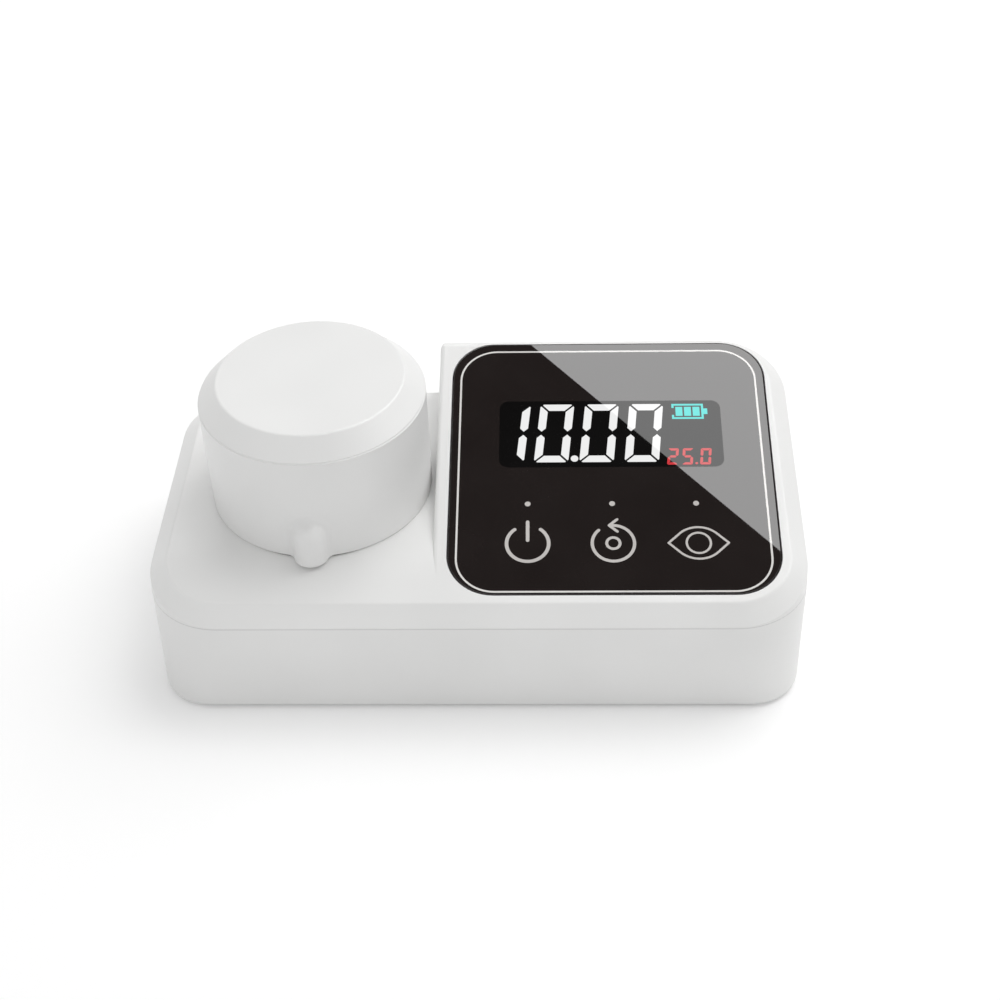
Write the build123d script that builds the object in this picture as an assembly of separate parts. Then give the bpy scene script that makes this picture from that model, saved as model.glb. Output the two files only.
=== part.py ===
# Portable colorimeter that reads a treated water sample in a round glass cell.
# A low wedge housing carries a glass touch panel on the right and, on a level deck
# at the left, the cell well under a lift-off light shield.
# Millimetres, +Z up, front towards -Y, origin on the table under the housing's middle.
from build123d import *
import os
from math import cos, hypot, radians, sin, tan

# Housing, measured at the level parting line
BODY_WIDTH = 160.0
BODY_DEPTH = 86.0
CORNER_RADIUS = 18.4
SIDE_DRAFT = 4.0
BASE_INSET = 0.4
BASE_CORNER_RADIUS = 12.6
BASE_BREAK = 0.6
WALL = 2.5
FLOOR = 2.4
BEVEL_IN = 4.0
BEVEL_DOWN = 3.2
EDGE_ROUND = 1.2
LIP_THICKNESS = 1.2
LIP_HEIGHT = 1.0
LIP_ROOT = 3.0
LIP_GAP = 0.2

# Level deck, with the parting line and the console's front edge below it
PLATFORM_HEIGHT = 36.1
DECK_RISE = 7.7
FRONT_DROP = 3.3
CREASE_ROUND = 45.0
DECK_WALL = 3.2

# Sloping console
CONSOLE_TILT = 14.6
FRONT_SETBACK = 4.0

# Glass touch panel and what lies under it
PANEL_RADIUS = 11.3
PANEL_THICKNESS = 1.8
PANEL_SIDE_MARGIN = 3.6
PANEL_RIGHT_MARGIN = 6.9
PANEL_FRONT_MARGIN = 2.4
PANEL_BACK_MARGIN = 5.74
PANEL_GAP = 0.2
PANEL_EDGE = 0.3
ADHESIVE = 0.2
ADHESIVE_INSET = 0.5
PANEL_BACKING = 2.2
WINDOW_WIDTH = 56.2
WINDOW_HEIGHT = 20.7
WINDOW_SHARE = 0.6175
DISPLAY_FRAME = 1.8
DISPLAY_FIT = 0.2
DISPLAY_CORNER = 1.3
DISPLAY_SINK = 0.6
KEY_PITCH = 20.55
KEY_SHARE = 0.1867
KEY_HOLE_RADIUS = 5.2
SPRING_INNER = 2.2
SPRING_OUTER = 3.0
SPRING_GROOVE = 0.4
ELECTRODE_RADIUS = 4.2
ELECTRODE_THICKNESS = 0.5
LED_SHARE = 0.3381
LED_RADIUS = 1.5
LED_FLANGE = 0.25
LED_GAP = 0.3

# Main board, hung under the panel's bed on four posts
BOARD_DEPTH = 7.2
BOARD_THICKNESS = 1.6
BOARD_FRONT = 10.0
BOARD_LEFT_MARGIN = 6.8
BOARD_CLEARANCE = 1.0
BOARD_EDGE = 3.5
POST_RADIUS = 2.6
POST_CLEARANCE = 2.05
POST_FRONT = 14.0
CHIP_SIDE = 12.0
CHIP_THICKNESS = 1.4
CHIP_FORWARD = 6.0
SOCKET_HEIGHT = 2.4
SOCKET_DEPTH = 4.0
SOCKET_SIDE = 5.0

# Fasteners
BOSS_BACK_SHARE = 0.1628
BOSS_RADIUS = 3.6
SCREW_RADIUS = 1.45
SCREW_HEAD_RADIUS = 2.8
SCREW_HEAD_HEIGHT = 2.0
SCREW_LENGTH = 11.0
SCREW_SHOULDER = 16.0
SHOULDER_THICKNESS = 4.0
SMALL_SCREW_RADIUS = 1.1
SMALL_HEAD_RADIUS = 2.1
SMALL_HEAD_HEIGHT = 1.5
SMALL_GRIP = 3.6
PILOT_SPARE = 0.4
PILOT_FIT = 0.02
HOLE_CLEARANCE = 0.1
COUNTERBORE_GAP = 0.3

# Rubber feet
FOOT_RADIUS = 5.5
FOOT_THICKNESS = 2.0
FOOT_PROUD = 0.8
FOOT_GAP = 0.1
FOOT_ROUND = 0.4

# Sample cell, 10 mL, with its screw cap
CELL_RADIUS = 12.3
CELL_WALL = 1.3
CELL_BASE = 1.8
CELL_CORNER = 0.8
CELL_NECK_RADIUS = 9.3
CELL_NECK_TOP = 52.0
CELL_NECK_HEIGHT = 7.0
CELL_SHOULDER = 4.0
LINER_THICKNESS = 0.8
LINER_OVER = 0.2
CLOSURE_WALL = 2.1
CLOSURE_TOP = 2.0
CLOSURE_SKIRT = 6.4
CLOSURE_FIT = 0.5
CLOSURE_ROUND = 0.9
FLUTE_RADIUS = 0.5
FLUTE_OUT = 0.15
FLUTES = 28

# Shares of the width that is free beside the optics, the battery bay and the boss
ROOM_LEFT = 0.3074
ROOM_MIDDLE = 0.2061
ROOM_RIGHT = 0.1993

# Cell well and optics
WELL_WALL = 2.4
WELL_FLOOR = 2.3
WELL_CLEARANCE = 0.3
WELL_PROUD = 3.0
WELL_SEAT = 1.4
WELL_SEAT_HEIGHT = 2.0
WELL_SEAT_GAP = 0.2
WELL_HOLE_GAP = 0.25
BEAM_SHARE = 0.38906
OPTIC_SHARE = 0.05625
OPTIC_BLOCK = 15.0
BEAM_APERTURE = 1.5
LAMP_RADIUS = 2.5
LAMP_FLANGE = 0.4
LAMP_FLANGE_HEIGHT = 1.0
LAMP_BACK = 1.2
LAMP_NOSE_GAP = 0.2
FILTER_RADIUS = 4.5
FILTER_THICKNESS = 2.0
FILTER_START = 0.3
DETECTOR_RADIUS = 4.1
DETECTOR_WINDOW = 1.2
DETECTOR_RIM = 0.6
DETECTOR_BACK = 0.2
PIN_SIDE = 0.5
PIN_LENGTH = 3.0
PIN_HOLE = 0.8
LAMP_PIN = 1.27
DETECTOR_PIN_SIDE = 2.0
DETECTOR_PIN_LOW = 1.2
DETECTOR_PIN_HIGH = 2.3
OPTIC_BOARD = 17.0
OPTIC_BOARD_THICKNESS = 1.6
OPTIC_SCREW_INSET = 1.9
OPTIC_FIT = 0.1
EAR_OUT = 4.5
EAR_RADIUS = 3.6
EAR_THICKNESS = 2.5
EAR_POST = 5.0
EAR_SCREW_SHORT = 1.5

# Light shield
SHIELD_RADIUS = 27.6
SHIELD_GAP = 1.4
SHIELD_HEADROOM = 7.3
SHIELD_CROWN = 2.4
SHIELD_CONE_IN = 4.8
SHIELD_CONE_DOWN = 4.9
SHIELD_WALL = 2.7
SHIELD_THROAT = 2.3
SHIELD_THROAT_DROP = 1.5
SHIELD_EDGE = 0.3
CROWN_ROUND = 0.8
RING_GROOVE = 0.25
NOSE_WIDTH = 8.4
NOSE_REACH = 3.9
NOSE_HEIGHT = 11.7
NOSE_BLEND = 2.2
COLLAR_CLEARANCE = 0.4
COLLAR_WALL = 2.0
COLLAR_HEIGHT = 5.0
COLLAR_EDGE = 0.5
KEY_WIDTH = 3.0
KEY_REACH = 1.0
KEY_SHORT = 1.0
SEAL_WIDTH = 1.8
SEAL_THICKNESS = 1.0
SEAL_INSET = 0.4

# Battery compartment for two AA cells
AA_RADIUS = 7.25
AA_LENGTH = 50.5
AA_NUB = 1.0
AA_NUB_RADIUS = 2.75
AA_ROUND = 0.6
AA_GAP = 0.4
CONTACT_SPACE = 3.3
CONTACT_PLATE = 0.4
CONTACT_WIDTH = 10.0
CONTACT_TAB = 3.0
CONTACT_SLOT = 4.0
CONTACT_SLOT_GAP = 0.3
SPRING_WIDE = 4.6
SPRING_NARROW = 2.8
SPRING_WIRE = 0.8
DIMPLE_RADIUS = 2.6
DIMPLE_EDGE = 0.6
BAY_WALL = 1.5
BAY_BACK = 1.0
BAY_ROOT = 0.5
DOOR_LEDGE = 1.6
DOOR_GAP = 0.2
TONGUE = 1.2
TONGUE_THICKNESS = 1.0
TONGUE_GAP = 0.15
TONGUE_UP = 0.7
GRIP_WIDTH = 16.0
GRIP_START = 4.0
GRIP_PITCH = 2.4
GRIP_GROOVE = 1.2
GRIP_DEPTH = 0.5

# Leads and their plugs
LEAD_RADIUS = 0.8
LEAD_BEND = 1.9
LEAD_STANDOFF = 4.0
LEAD_RISE = 3.0
LEAD_BEHIND_CREASE = 5.0
LEAD_INTO_SOCKET = 0.3
BATTERY_LEAD_BEND = 6.0
BATTERY_LEAD_SWAY = 0.6
BATTERY_LEAD_EDGE = 2.5
BATTERY_LEAD_SIDE = 5.0
LEAD_END_GAP = 0.05
RIBBON_WIDTH = 5.0
RIBBON_THICKNESS = 0.7
RIBBON_INTO_SOCKET = 0.6
RIBBON_SOCKET_X = 6.0
LAMP_SOCKET_X = 10.0
PLUG_WIDTH = 6.5
PLUG_HEIGHT = 5.0
PLUG_DEPTH = 2.6

# How far a cutting shape runs past what it cuts
PAST = 1.0

UP = (Align.CENTER, Align.CENTER, Align.MIN)
DOWN = (Align.CENTER, Align.CENTER, Align.MAX)
PLUG_ALIGN = (Align.MIN, Align.CENTER, Align.MIN)

# Housing planes that follow from the sizes
half_width = BODY_WIDTH / 2
front_y = -BODY_DEPTH / 2
back_y = BODY_DEPTH / 2
seam_height = PLATFORM_HEIGHT - DECK_RISE
front_height = PLATFORM_HEIGHT - FRONT_DROP
floor_top = FOOT_PROUD + FLOOR
side_wall = BASE_INSET + WALL
tilt = radians(CONSOLE_TILT)
crease_y = front_y + FRONT_SETBACK + FRONT_DROP / tan(tilt)
console = Plane(
    origin=(0, front_y + FRONT_SETBACK, front_height),
    x_dir=(1, 0, 0),
    z_dir=(0, -sin(tilt), cos(tilt)),
)
deck = Plane.XY.offset(PLATFORM_HEIGHT)

# Across the floor: wall, optics, battery bay and boss, with the free width shared between them
well_bore = CELL_RADIUS + WELL_CLEARANCE
well_radius = well_bore + WELL_WALL
optic_reach = well_radius + OPTIC_SHARE * BODY_WIDTH
optics_half = optic_reach + OPTIC_BOARD_THICKNESS + PLUG_DEPTH
bay_length = AA_LENGTH + 2 * CONTACT_SPACE
taken_width = side_wall + 2 * optics_half + bay_length + 2 * BAY_WALL + 2 * FOOT_RADIUS
free_width = BODY_WIDTH - taken_width
boss_x = half_width - FOOT_RADIUS - (1 - ROOM_LEFT - ROOM_MIDDLE - ROOM_RIGHT) * free_width
boss_y = back_y - BOSS_BACK_SHARE * BODY_DEPTH
boss_places = [(sx * boss_x, sy * boss_y) for sx in (-1, 1) for sy in (-1, 1)]
boss_bottom = SCREW_SHOULDER + SHOULDER_THICKNESS
cell_x = -half_width + side_wall + ROOM_LEFT * free_width + optics_half
console_left = cell_x + SHIELD_RADIUS + SHIELD_GAP
bay_x0 = cell_x + optics_half + ROOM_MIDDLE * free_width + BAY_WALL
bay_x1 = bay_x0 + bay_length
bay_x = (bay_x0 + bay_x1) / 2
bay_y1 = back_y - side_wall - BAY_BACK
bay_y0 = bay_y1 - 4 * AA_RADIUS - 3 * AA_GAP
bay_top = floor_top + 2 * AA_RADIUS + 2 * AA_GAP
aa_z = floor_top + AA_GAP + AA_RADIUS
aa_front_y = bay_y0 + AA_GAP + AA_RADIUS
aa_back_y = bay_y1 - AA_GAP - AA_RADIUS
tab_top = bay_top + BAY_WALL + CONTACT_TAB

# Glass panel, its window and keys, and the board under them
recess_depth = PANEL_THICKNESS + ADHESIVE
console_wall = recess_depth + PANEL_BACKING
panel_width = half_width - console_left - PANEL_SIDE_MARGIN - PANEL_RIGHT_MARGIN
panel_length = (BODY_DEPTH - FRONT_SETBACK) / cos(tilt) - PANEL_FRONT_MARGIN - PANEL_BACK_MARGIN
panel_x = console_left + PANEL_SIDE_MARGIN + panel_width / 2
panel_up = PANEL_FRONT_MARGIN + panel_length / 2
window_up = PANEL_FRONT_MARGIN + WINDOW_SHARE * panel_length
key_up = PANEL_FRONT_MARGIN + KEY_SHARE * panel_length
led_up = PANEL_FRONT_MARGIN + LED_SHARE * panel_length
key_xs = [panel_x - KEY_PITCH, panel_x, panel_x + KEY_PITCH]
frame_width = WINDOW_WIDTH + 2 * DISPLAY_FRAME
frame_height = WINDOW_HEIGHT + 2 * DISPLAY_FRAME
post_back = window_up + frame_height / 2 + POST_CLEARANCE + POST_RADIUS
board_x0 = console_left + BOARD_LEFT_MARGIN
board_x1 = boss_x - BOSS_RADIUS - BOARD_CLEARANCE
board_x = (board_x0 + board_x1) / 2
board_length = post_back + BOARD_EDGE - BOARD_FRONT
board_up = BOARD_FRONT + board_length / 2
board_bottom = BOARD_DEPTH + BOARD_THICKNESS
post_xs = [board_x0 + BOARD_EDGE, board_x1 - BOARD_EDGE]
board_screws = [(x, up) for x in post_xs for up in (BOARD_FRONT + POST_FRONT, post_back)]

# Cell well, light path and shield
cell_y = crease_y + SHIELD_RADIUS
cell_bottom = floor_top + WELL_FLOOR
beam_z = floor_top + BEAM_SHARE * (PLATFORM_HEIGHT - floor_top)
well_top = PLATFORM_HEIGHT + WELL_PROUD
ear_reach = well_radius + EAR_OUT
filter_x = well_radius + FILTER_START
corner = OPTIC_BLOCK / 2 - OPTIC_SCREW_INSET
optic_screws = [(-corner, corner), (corner, -corner)]
lamp_pins = [(-LAMP_PIN, 0), (LAMP_PIN, 0)]
detector_pins = [
    (-DETECTOR_PIN_SIDE, -DETECTOR_PIN_LOW), (DETECTOR_PIN_SIDE, -DETECTOR_PIN_LOW), (0, DETECTOR_PIN_HIGH),
]
closure_radius = CELL_NECK_RADIUS + CLOSURE_FIT + CLOSURE_WALL
closure_top = cell_bottom + CELL_NECK_TOP + LINER_THICKNESS + CLOSURE_TOP
shield_height = closure_top + SHIELD_HEADROOM + SHIELD_CROWN - PLATFORM_HEIGHT
shield_top_radius = SHIELD_RADIUS - SHIELD_CONE_IN
shield_shoulder = shield_height - SHIELD_CONE_DOWN
foot_height = NOSE_HEIGHT + 2 * NOSE_BLEND
seal_outer = SHIELD_RADIUS - SEAL_INSET

# Where the leads start and end
plug_reach = optic_reach + OPTIC_BOARD_THICKNESS + PLUG_DEPTH / 2
plug_top = beam_z + OPTIC_BOARD / 2
socket_depth = board_bottom + SOCKET_HEIGHT
ribbon_x = board_x0 + RIBBON_SOCKET_X
lamp_x = board_x0 + LAMP_SOCKET_X
lamp_y = crease_y + LEAD_BEHIND_CREASE


def on_console(x, up, depth=0.0):
    """Location on the console slope: x across, up the slope from its front edge, depth below it."""
    return console.location * Pos(x, up, -depth)


def console_height(y, depth=0.0):
    """Height of the console slope at y, or of the plane that lies depth below it."""
    return front_height + (y - front_y - FRONT_SETBACK) * tan(tilt) - depth / cos(tilt)


def under_console(x, y, depth):
    """Location on the plane that lies depth below the console slope, where it passes x and y."""
    return on_console(x, (y - front_y - FRONT_SETBACK - depth * sin(tilt)) / cos(tilt), depth)


def span(x0, x1, y0, y1, z0, z1):
    """Block between two corners."""
    return Pos((x0 + x1) / 2, (y0 + y1) / 2, (z0 + z1) / 2) * Box(x1 - x0, y1 - y0, z1 - z0)


def screw(radius, length, head_radius, head_height):
    """Pan-head screw that points down, with the underside of its head at the origin."""
    head = Cylinder(head_radius, head_height, align=UP)
    head = fillet(head.edges().sort_by(Axis.Z)[-1], head_height * 0.4)
    socket = Pos(0, 0, head_height * 0.4) * extrude(RegularPolygon(head_radius * 0.45, 6), head_height)
    return head - socket + Cylinder(radius, length, align=DOWN)


def housing_block(inset):
    """Upper half of the housing as one drafted block, before its tops are cut."""
    outline = RectangleRounded(BODY_WIDTH - 2 * inset, BODY_DEPTH - 2 * inset, CORNER_RADIUS - inset)
    return extrude(Plane.XY.offset(seam_height) * outline, BODY_DEPTH / 2, taper=SIDE_DRAFT)


def bevelled_top(plane):
    """Housing block cut by one of its top planes, with a softened bevel all round."""
    block = split(housing_block(0), bisect_by=plane, keep=Keep.BOTTOM)
    top = block.faces().filter_by(plane).sort_by(Axis.Z)[-1]
    block = chamfer(top.edges(), length=BEVEL_IN, length2=BEVEL_DOWN, reference=top)
    top = block.faces().filter_by(plane).sort_by(Axis.Z)[-1]
    return fillet(top.edges(), EDGE_ROUND)


def softened_deck():
    """Housing block under one smooth top: the level deck, a broad soft crease and the falling front."""
    reach = 2 * BODY_DEPTH
    section = [
        (crease_y - reach, PLATFORM_HEIGHT - reach * tan(tilt)), (crease_y, PLATFORM_HEIGHT),
        (crease_y + reach, PLATFORM_HEIGHT), (crease_y + reach, 2 * reach), (crease_y - reach, 2 * reach),
    ]
    above = extrude(Plane.YZ * make_face(Polyline(*section, close=True)), BODY_WIDTH, both=True)
    crease = above.edges().filter_by(Axis.X).sort_by_distance((0, crease_y, PLATFORM_HEIGHT))[0]
    block = housing_block(0) - fillet(crease, CREASE_ROUND)
    # One edge is enough: the bevel and its rounding run on along the whole smooth outline
    level = block.faces().filter_by(deck).sort_by(Axis.Z)[-1]
    rear_edge = level.edges().filter_by(Axis.X).sort_by(Axis.Y)[-1]
    block = chamfer(rear_edge, length=BEVEL_IN, length2=BEVEL_DOWN, reference=level)
    level = block.faces().filter_by(deck).sort_by(Axis.Z)[-1]
    return fillet(level.edges().filter_by(Axis.X).sort_by(Axis.Y)[-1], EDGE_ROUND)


def side_of(x, sign):
    """Half-space to the left or right of x, large enough to take the whole housing."""
    return Pos(x + sign * BODY_WIDTH, 0, 0) * Box(2 * BODY_WIDTH, 2 * BODY_DEPTH, 2 * BODY_WIDTH)


def make_upper_form():
    """Solid outer form of the upper shell: console wedge on the right, level deck on the left."""
    right = bevelled_top(console) & side_of(console_left, 1)
    form = right + (softened_deck() & side_of(console_left, -1))
    ridge = form.edges().filter_by(
        lambda e: abs(e.center().X - console_left) < 0.01 and e.center().Z > PLATFORM_HEIGHT + 2
    )
    return fillet(ridge, EDGE_ROUND)


def make_upper_cavity():
    """Hollow of the upper shell, one wall inside its outer form."""
    block = housing_block(WALL)
    below_console = split(block, bisect_by=console.offset(-console_wall), keep=Keep.BOTTOM)
    below_deck = split(block, bisect_by=deck.offset(-DECK_WALL), keep=Keep.BOTTOM)
    wall_x = console_left + WALL
    right = below_console & side_of(wall_x, 1)
    left = below_console & below_deck & side_of(wall_x, -1)
    return right + left


def ring(inner, outer, height):
    """Plain ring standing on the origin."""
    return Cylinder(outer, height, align=UP) - Cylinder(inner, height, align=UP)


def small_pilot():
    """Blind hole that a small screw cuts its thread in, upward from the origin."""
    return Cylinder(SMALL_SCREW_RADIUS + PILOT_FIT, SMALL_GRIP + PILOT_SPARE, align=UP)


def panel_openings(depth, height):
    """Window, key and lamp openings as solids that stand on the plane depth below the console."""
    corner_radius = DISPLAY_CORNER + DISPLAY_FIT
    cuts = [on_console(panel_x, window_up, depth) * extrude(
        RectangleRounded(frame_width, frame_height, corner_radius), height
    )]
    for x in key_xs:
        cuts.append(on_console(x, key_up, depth) * Cylinder(KEY_HOLE_RADIUS, height, align=UP))
        cuts.append(on_console(x, led_up, depth) * Cylinder(LED_RADIUS + LED_GAP, height, align=UP))
    return cuts


def make_upper_shell():
    form = make_upper_form()
    shell = form - make_upper_cavity()

    # Screw bosses run from the shoulders in the lower shell up to the tops
    for x, y in boss_places:
        shell += Pos(x, y, seam_height) * Cylinder(BOSS_RADIUS, BODY_DEPTH, align=UP) & form
        shell += Pos(x, y, boss_bottom) * Cylinder(BOSS_RADIUS, seam_height - boss_bottom, align=UP)
    pilot_depth = SCREW_LENGTH - SHOULDER_THICKNESS + PILOT_SPARE
    for x, y in boss_places:
        shell -= Pos(x, y, boss_bottom) * Cylinder(SCREW_RADIUS + PILOT_FIT, pilot_depth, align=UP)
    post_height = BOARD_DEPTH - console_wall + PANEL_BACKING / 2
    for x, up in board_screws:
        shell += on_console(x, up, BOARD_DEPTH) * Cylinder(POST_RADIUS, post_height, align=UP)
        shell -= on_console(x, up, BOARD_DEPTH) * small_pilot()

    # Recess for the glass, with the window, key and lamp openings through its bed
    gap = 2 * PANEL_GAP
    recess = RectangleRounded(panel_width + gap, panel_length + gap, PANEL_RADIUS + PANEL_GAP)
    shell -= on_console(panel_x, panel_up, recess_depth) * extrude(recess, recess_depth + PAST)
    shell -= panel_openings(console_wall + PAST, PANEL_BACKING + 2 * PAST)

    # Deck round the well: collar with its key, seal groove and the opening for the well
    collar_outer = SHIELD_RADIUS - SHIELD_WALL - COLLAR_CLEARANCE
    at_deck = Pos(cell_x, cell_y, PLATFORM_HEIGHT)
    collar = ring(collar_outer - COLLAR_WALL, collar_outer, COLLAR_HEIGHT)
    collar = chamfer(collar.edges().group_by(Axis.Z)[-1], COLLAR_EDGE)
    key_root = COLLAR_WALL / 2 - collar_outer
    key_tip = -collar_outer - KEY_REACH
    key = span(-KEY_WIDTH / 2, KEY_WIDTH / 2, key_tip, key_root, 0, COLLAR_HEIGHT - KEY_SHORT)
    shell += at_deck * (collar + key)
    groove = ring(seal_outer - SEAL_WIDTH, seal_outer, SEAL_THICKNESS)
    shell -= at_deck * Pos(0, 0, -SEAL_THICKNESS) * groove
    well_hole = Cylinder(well_radius + WELL_HOLE_GAP, DECK_WALL + 2 * PAST, align=UP)
    shell -= at_deck * Pos(0, 0, -DECK_WALL - PAST) * well_hole

    # Rebate that takes the lower shell's lip
    shell -= Pos(0, 0, seam_height) * lip_ring(WALL, LIP_THICKNESS + 2 * LIP_GAP, LIP_HEIGHT + LIP_GAP)
    return shell


def lip_ring(inset, thickness, height):
    """Ring that follows the housing's outline, one inset inside it."""
    outer = RectangleRounded(BODY_WIDTH - 2 * inset, BODY_DEPTH - 2 * inset, CORNER_RADIUS - inset)
    deep = inset + thickness
    inner = RectangleRounded(BODY_WIDTH - 2 * deep, BODY_DEPTH - 2 * deep, CORNER_RADIUS - deep)
    return extrude(outer - inner, height)


def make_lower_form():
    """Solid outer form of the lower shell, narrower and sharper-cornered at its base."""
    sections = []
    for inset, radius, z in (
        (BASE_INSET + BASE_BREAK, BASE_CORNER_RADIUS - BASE_BREAK, FOOT_PROUD),
        (BASE_INSET, BASE_CORNER_RADIUS, FOOT_PROUD + BASE_BREAK),
        (0, CORNER_RADIUS, seam_height),
    ):
        outline = RectangleRounded(BODY_WIDTH - 2 * inset, BODY_DEPTH - 2 * inset, radius)
        sections.append(Plane.XY.offset(z) * outline)
    return loft(sections, ruled=True)


def make_lower_shell():
    form = make_lower_form()
    deep = BASE_INSET + WALL
    cavity = RectangleRounded(BODY_WIDTH - 2 * deep, BODY_DEPTH - 2 * deep, CORNER_RADIUS - deep)
    shell = form - Pos(0, 0, floor_top) * extrude(cavity, seam_height)

    # Lip inside the parting line
    lip_root = lip_ring(WALL, LIP_THICKNESS + LIP_GAP, LIP_ROOT)
    lip = lip_ring(WALL + LIP_GAP, LIP_THICKNESS, LIP_HEIGHT)
    shell += Pos(0, 0, seam_height - LIP_ROOT) * lip_root & form
    shell += Pos(0, 0, seam_height) * lip

    # Battery compartment: a roofed box on the floor
    roof = bay_top + BAY_WALL
    root = floor_top - BAY_ROOT
    shell += span(
        bay_x0 - BAY_WALL, bay_x1 + BAY_WALL, bay_y0 - BAY_WALL, back_y - side_wall + BAY_ROOT, root, roof
    )
    shell -= span(bay_x0, bay_x1, bay_y0, bay_y1, floor_top, bay_top)
    slot_x = bay_x1 - CONTACT_PLATE - CONTACT_SLOT_GAP
    slot = CONTACT_SLOT / 2
    for y in (aa_front_y, aa_back_y):
        shell -= span(slot_x, bay_x1, y - slot, y + slot, bay_top - PAST, roof + PAST)

    # Door opening with a groove along each side, open at the back
    opening = bay_length / 2 - DOOR_LEDGE
    shell -= span(bay_x - opening, bay_x + opening, bay_y0, back_y + PAST, 0, floor_top + DOOR_GAP)
    groove = opening + TONGUE + TONGUE_GAP
    groove_z = FOOT_PROUD + TONGUE_UP - TONGUE_GAP
    groove_top = groove_z + TONGUE_THICKNESS + 2 * TONGUE_GAP
    shell -= span(bay_x - groove, bay_x + groove, bay_y0, back_y + PAST, groove_z, groove_top)

    # Screw bosses, counterbored from below behind the feet
    for x, y in boss_places:
        shell += Pos(x, y, root) * Cylinder(FOOT_RADIUS, boss_bottom - root, align=UP)
        shell -= Pos(x, y, boss_bottom) * Cylinder(BOSS_RADIUS + HOLE_CLEARANCE, seam_height, align=UP)
        shell -= Pos(x, y, 0) * Cylinder(SCREW_HEAD_RADIUS + COUNTERBORE_GAP, SCREW_SHOULDER, align=UP)
        shell -= Pos(x, y, 0) * Cylinder(SCREW_RADIUS + HOLE_CLEARANCE, boss_bottom + PAST, align=UP)
        shell -= Pos(x, y, 0) * Cylinder(FOOT_RADIUS + FOOT_GAP, FOOT_THICKNESS, align=UP)

    # Seat ring and screw posts for the cell well
    seat = well_radius + WELL_SEAT_GAP
    seat_height = WELL_SEAT_HEIGHT + floor_top - root
    shell += Pos(cell_x, cell_y, root) * ring(seat, seat + WELL_SEAT, seat_height)
    post = Cylinder(EAR_RADIUS, EAR_POST + floor_top - root, align=UP)
    for sign in (-1, 1):
        y = cell_y + sign * ear_reach
        shell += Pos(cell_x, y, root) * post
        pilot = Cylinder(SMALL_SCREW_RADIUS + PILOT_FIT, EAR_POST + PAST, align=UP)
        shell -= Pos(cell_x, y, floor_top) * pilot
    return shell


def make_touch_panel():
    outline = RectangleRounded(panel_width, panel_length, PANEL_RADIUS)
    glass = extrude(outline, PANEL_THICKNESS)
    glass = chamfer(glass.faces().sort_by(Axis.Z)[-1].edges(), PANEL_EDGE)
    return on_console(panel_x, panel_up, PANEL_THICKNESS) * glass


def make_panel_adhesive():
    width = panel_width - 2 * ADHESIVE_INSET
    length = panel_length - 2 * ADHESIVE_INSET
    outline = RectangleRounded(width, length, PANEL_RADIUS - ADHESIVE_INSET)
    tape = on_console(panel_x, panel_up, recess_depth) * extrude(outline, ADHESIVE)
    return tape - panel_openings(recess_depth + PAST, ADHESIVE + 2 * PAST)


def make_display_module():
    """Segment display that stands on the board and looks through the bed to the glass."""
    height = BOARD_DEPTH - recess_depth
    width = frame_width - 2 * DISPLAY_FIT
    length = frame_height - 2 * DISPLAY_FIT
    body = extrude(RectangleRounded(width, length, DISPLAY_CORNER), height)
    pane = RectangleRounded(WINDOW_WIDTH, WINDOW_HEIGHT, DISPLAY_CORNER)
    body -= Pos(0, 0, height - DISPLAY_SINK) * extrude(pane, DISPLAY_SINK + PAST)
    return on_console(panel_x, window_up, BOARD_DEPTH) * body


def make_main_board():
    board = extrude(RectangleRounded(board_x1 - board_x0, board_length, BOARD_THICKNESS), BOARD_THICKNESS)
    board = on_console(board_x, board_up, board_bottom) * board
    for x, up in board_screws:
        hole = Cylinder(SMALL_SCREW_RADIUS + HOLE_CLEARANCE, BOARD_THICKNESS + 2 * PAST, align=UP)
        board -= on_console(x, up, board_bottom + PAST) * hole

    # Processor and the two sockets on the underside
    chip = Box(CHIP_SIDE, CHIP_SIDE, CHIP_THICKNESS, align=DOWN)
    board += on_console(board_x, board_up - CHIP_FORWARD, board_bottom) * chip
    ribbon_socket = Box(SOCKET_DEPTH, RIBBON_WIDTH + SOCKET_DEPTH / 2, SOCKET_HEIGHT, align=UP)
    board += under_console(ribbon_x, cell_y, socket_depth) * ribbon_socket
    lamp_socket = Box(SOCKET_SIDE, SOCKET_SIDE, SOCKET_HEIGHT, align=UP)
    board += under_console(lamp_x, lamp_y, socket_depth) * lamp_socket
    return board


def make_touch_springs():
    """One sprung electrode under each touch key, pressed against the back of the glass."""
    height = BOARD_DEPTH - recess_depth
    coil_height = height - ELECTRODE_THICKNESS
    coil = ring(SPRING_INNER, SPRING_OUTER, coil_height)
    middle = (SPRING_INNER + SPRING_OUTER) / 2
    for turn in range(1, 5):
        coil -= Pos(0, 0, turn * coil_height / 5) * ring(middle, SPRING_OUTER + SPRING_GROOVE, SPRING_GROOVE)
    spring = coil + Pos(0, 0, coil_height) * Cylinder(ELECTRODE_RADIUS, ELECTRODE_THICKNESS, align=UP)
    return Compound([on_console(x, key_up, BOARD_DEPTH) * spring for x in key_xs])


def make_indicator_leds():
    """Small domed lamps that shine through the holes above the keys."""
    height = BOARD_DEPTH - recess_depth - LED_GAP
    lamp = Cylinder(LED_RADIUS, height, align=UP)
    lamp = fillet(lamp.edges().sort_by(Axis.Z)[-1], LED_RADIUS * 0.8)
    lamp += Cylinder(LED_RADIUS + LED_FLANGE, 3 * LED_FLANGE, align=UP)
    return Compound([on_console(x, led_up, BOARD_DEPTH) * lamp for x in key_xs])


def make_board_screws():
    part = screw(SMALL_SCREW_RADIUS, BOARD_THICKNESS + SMALL_GRIP, SMALL_HEAD_RADIUS, SMALL_HEAD_HEIGHT)
    return Compound([on_console(x, up, board_bottom) * Rot(180, 0, 0) * part for x, up in board_screws])


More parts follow.
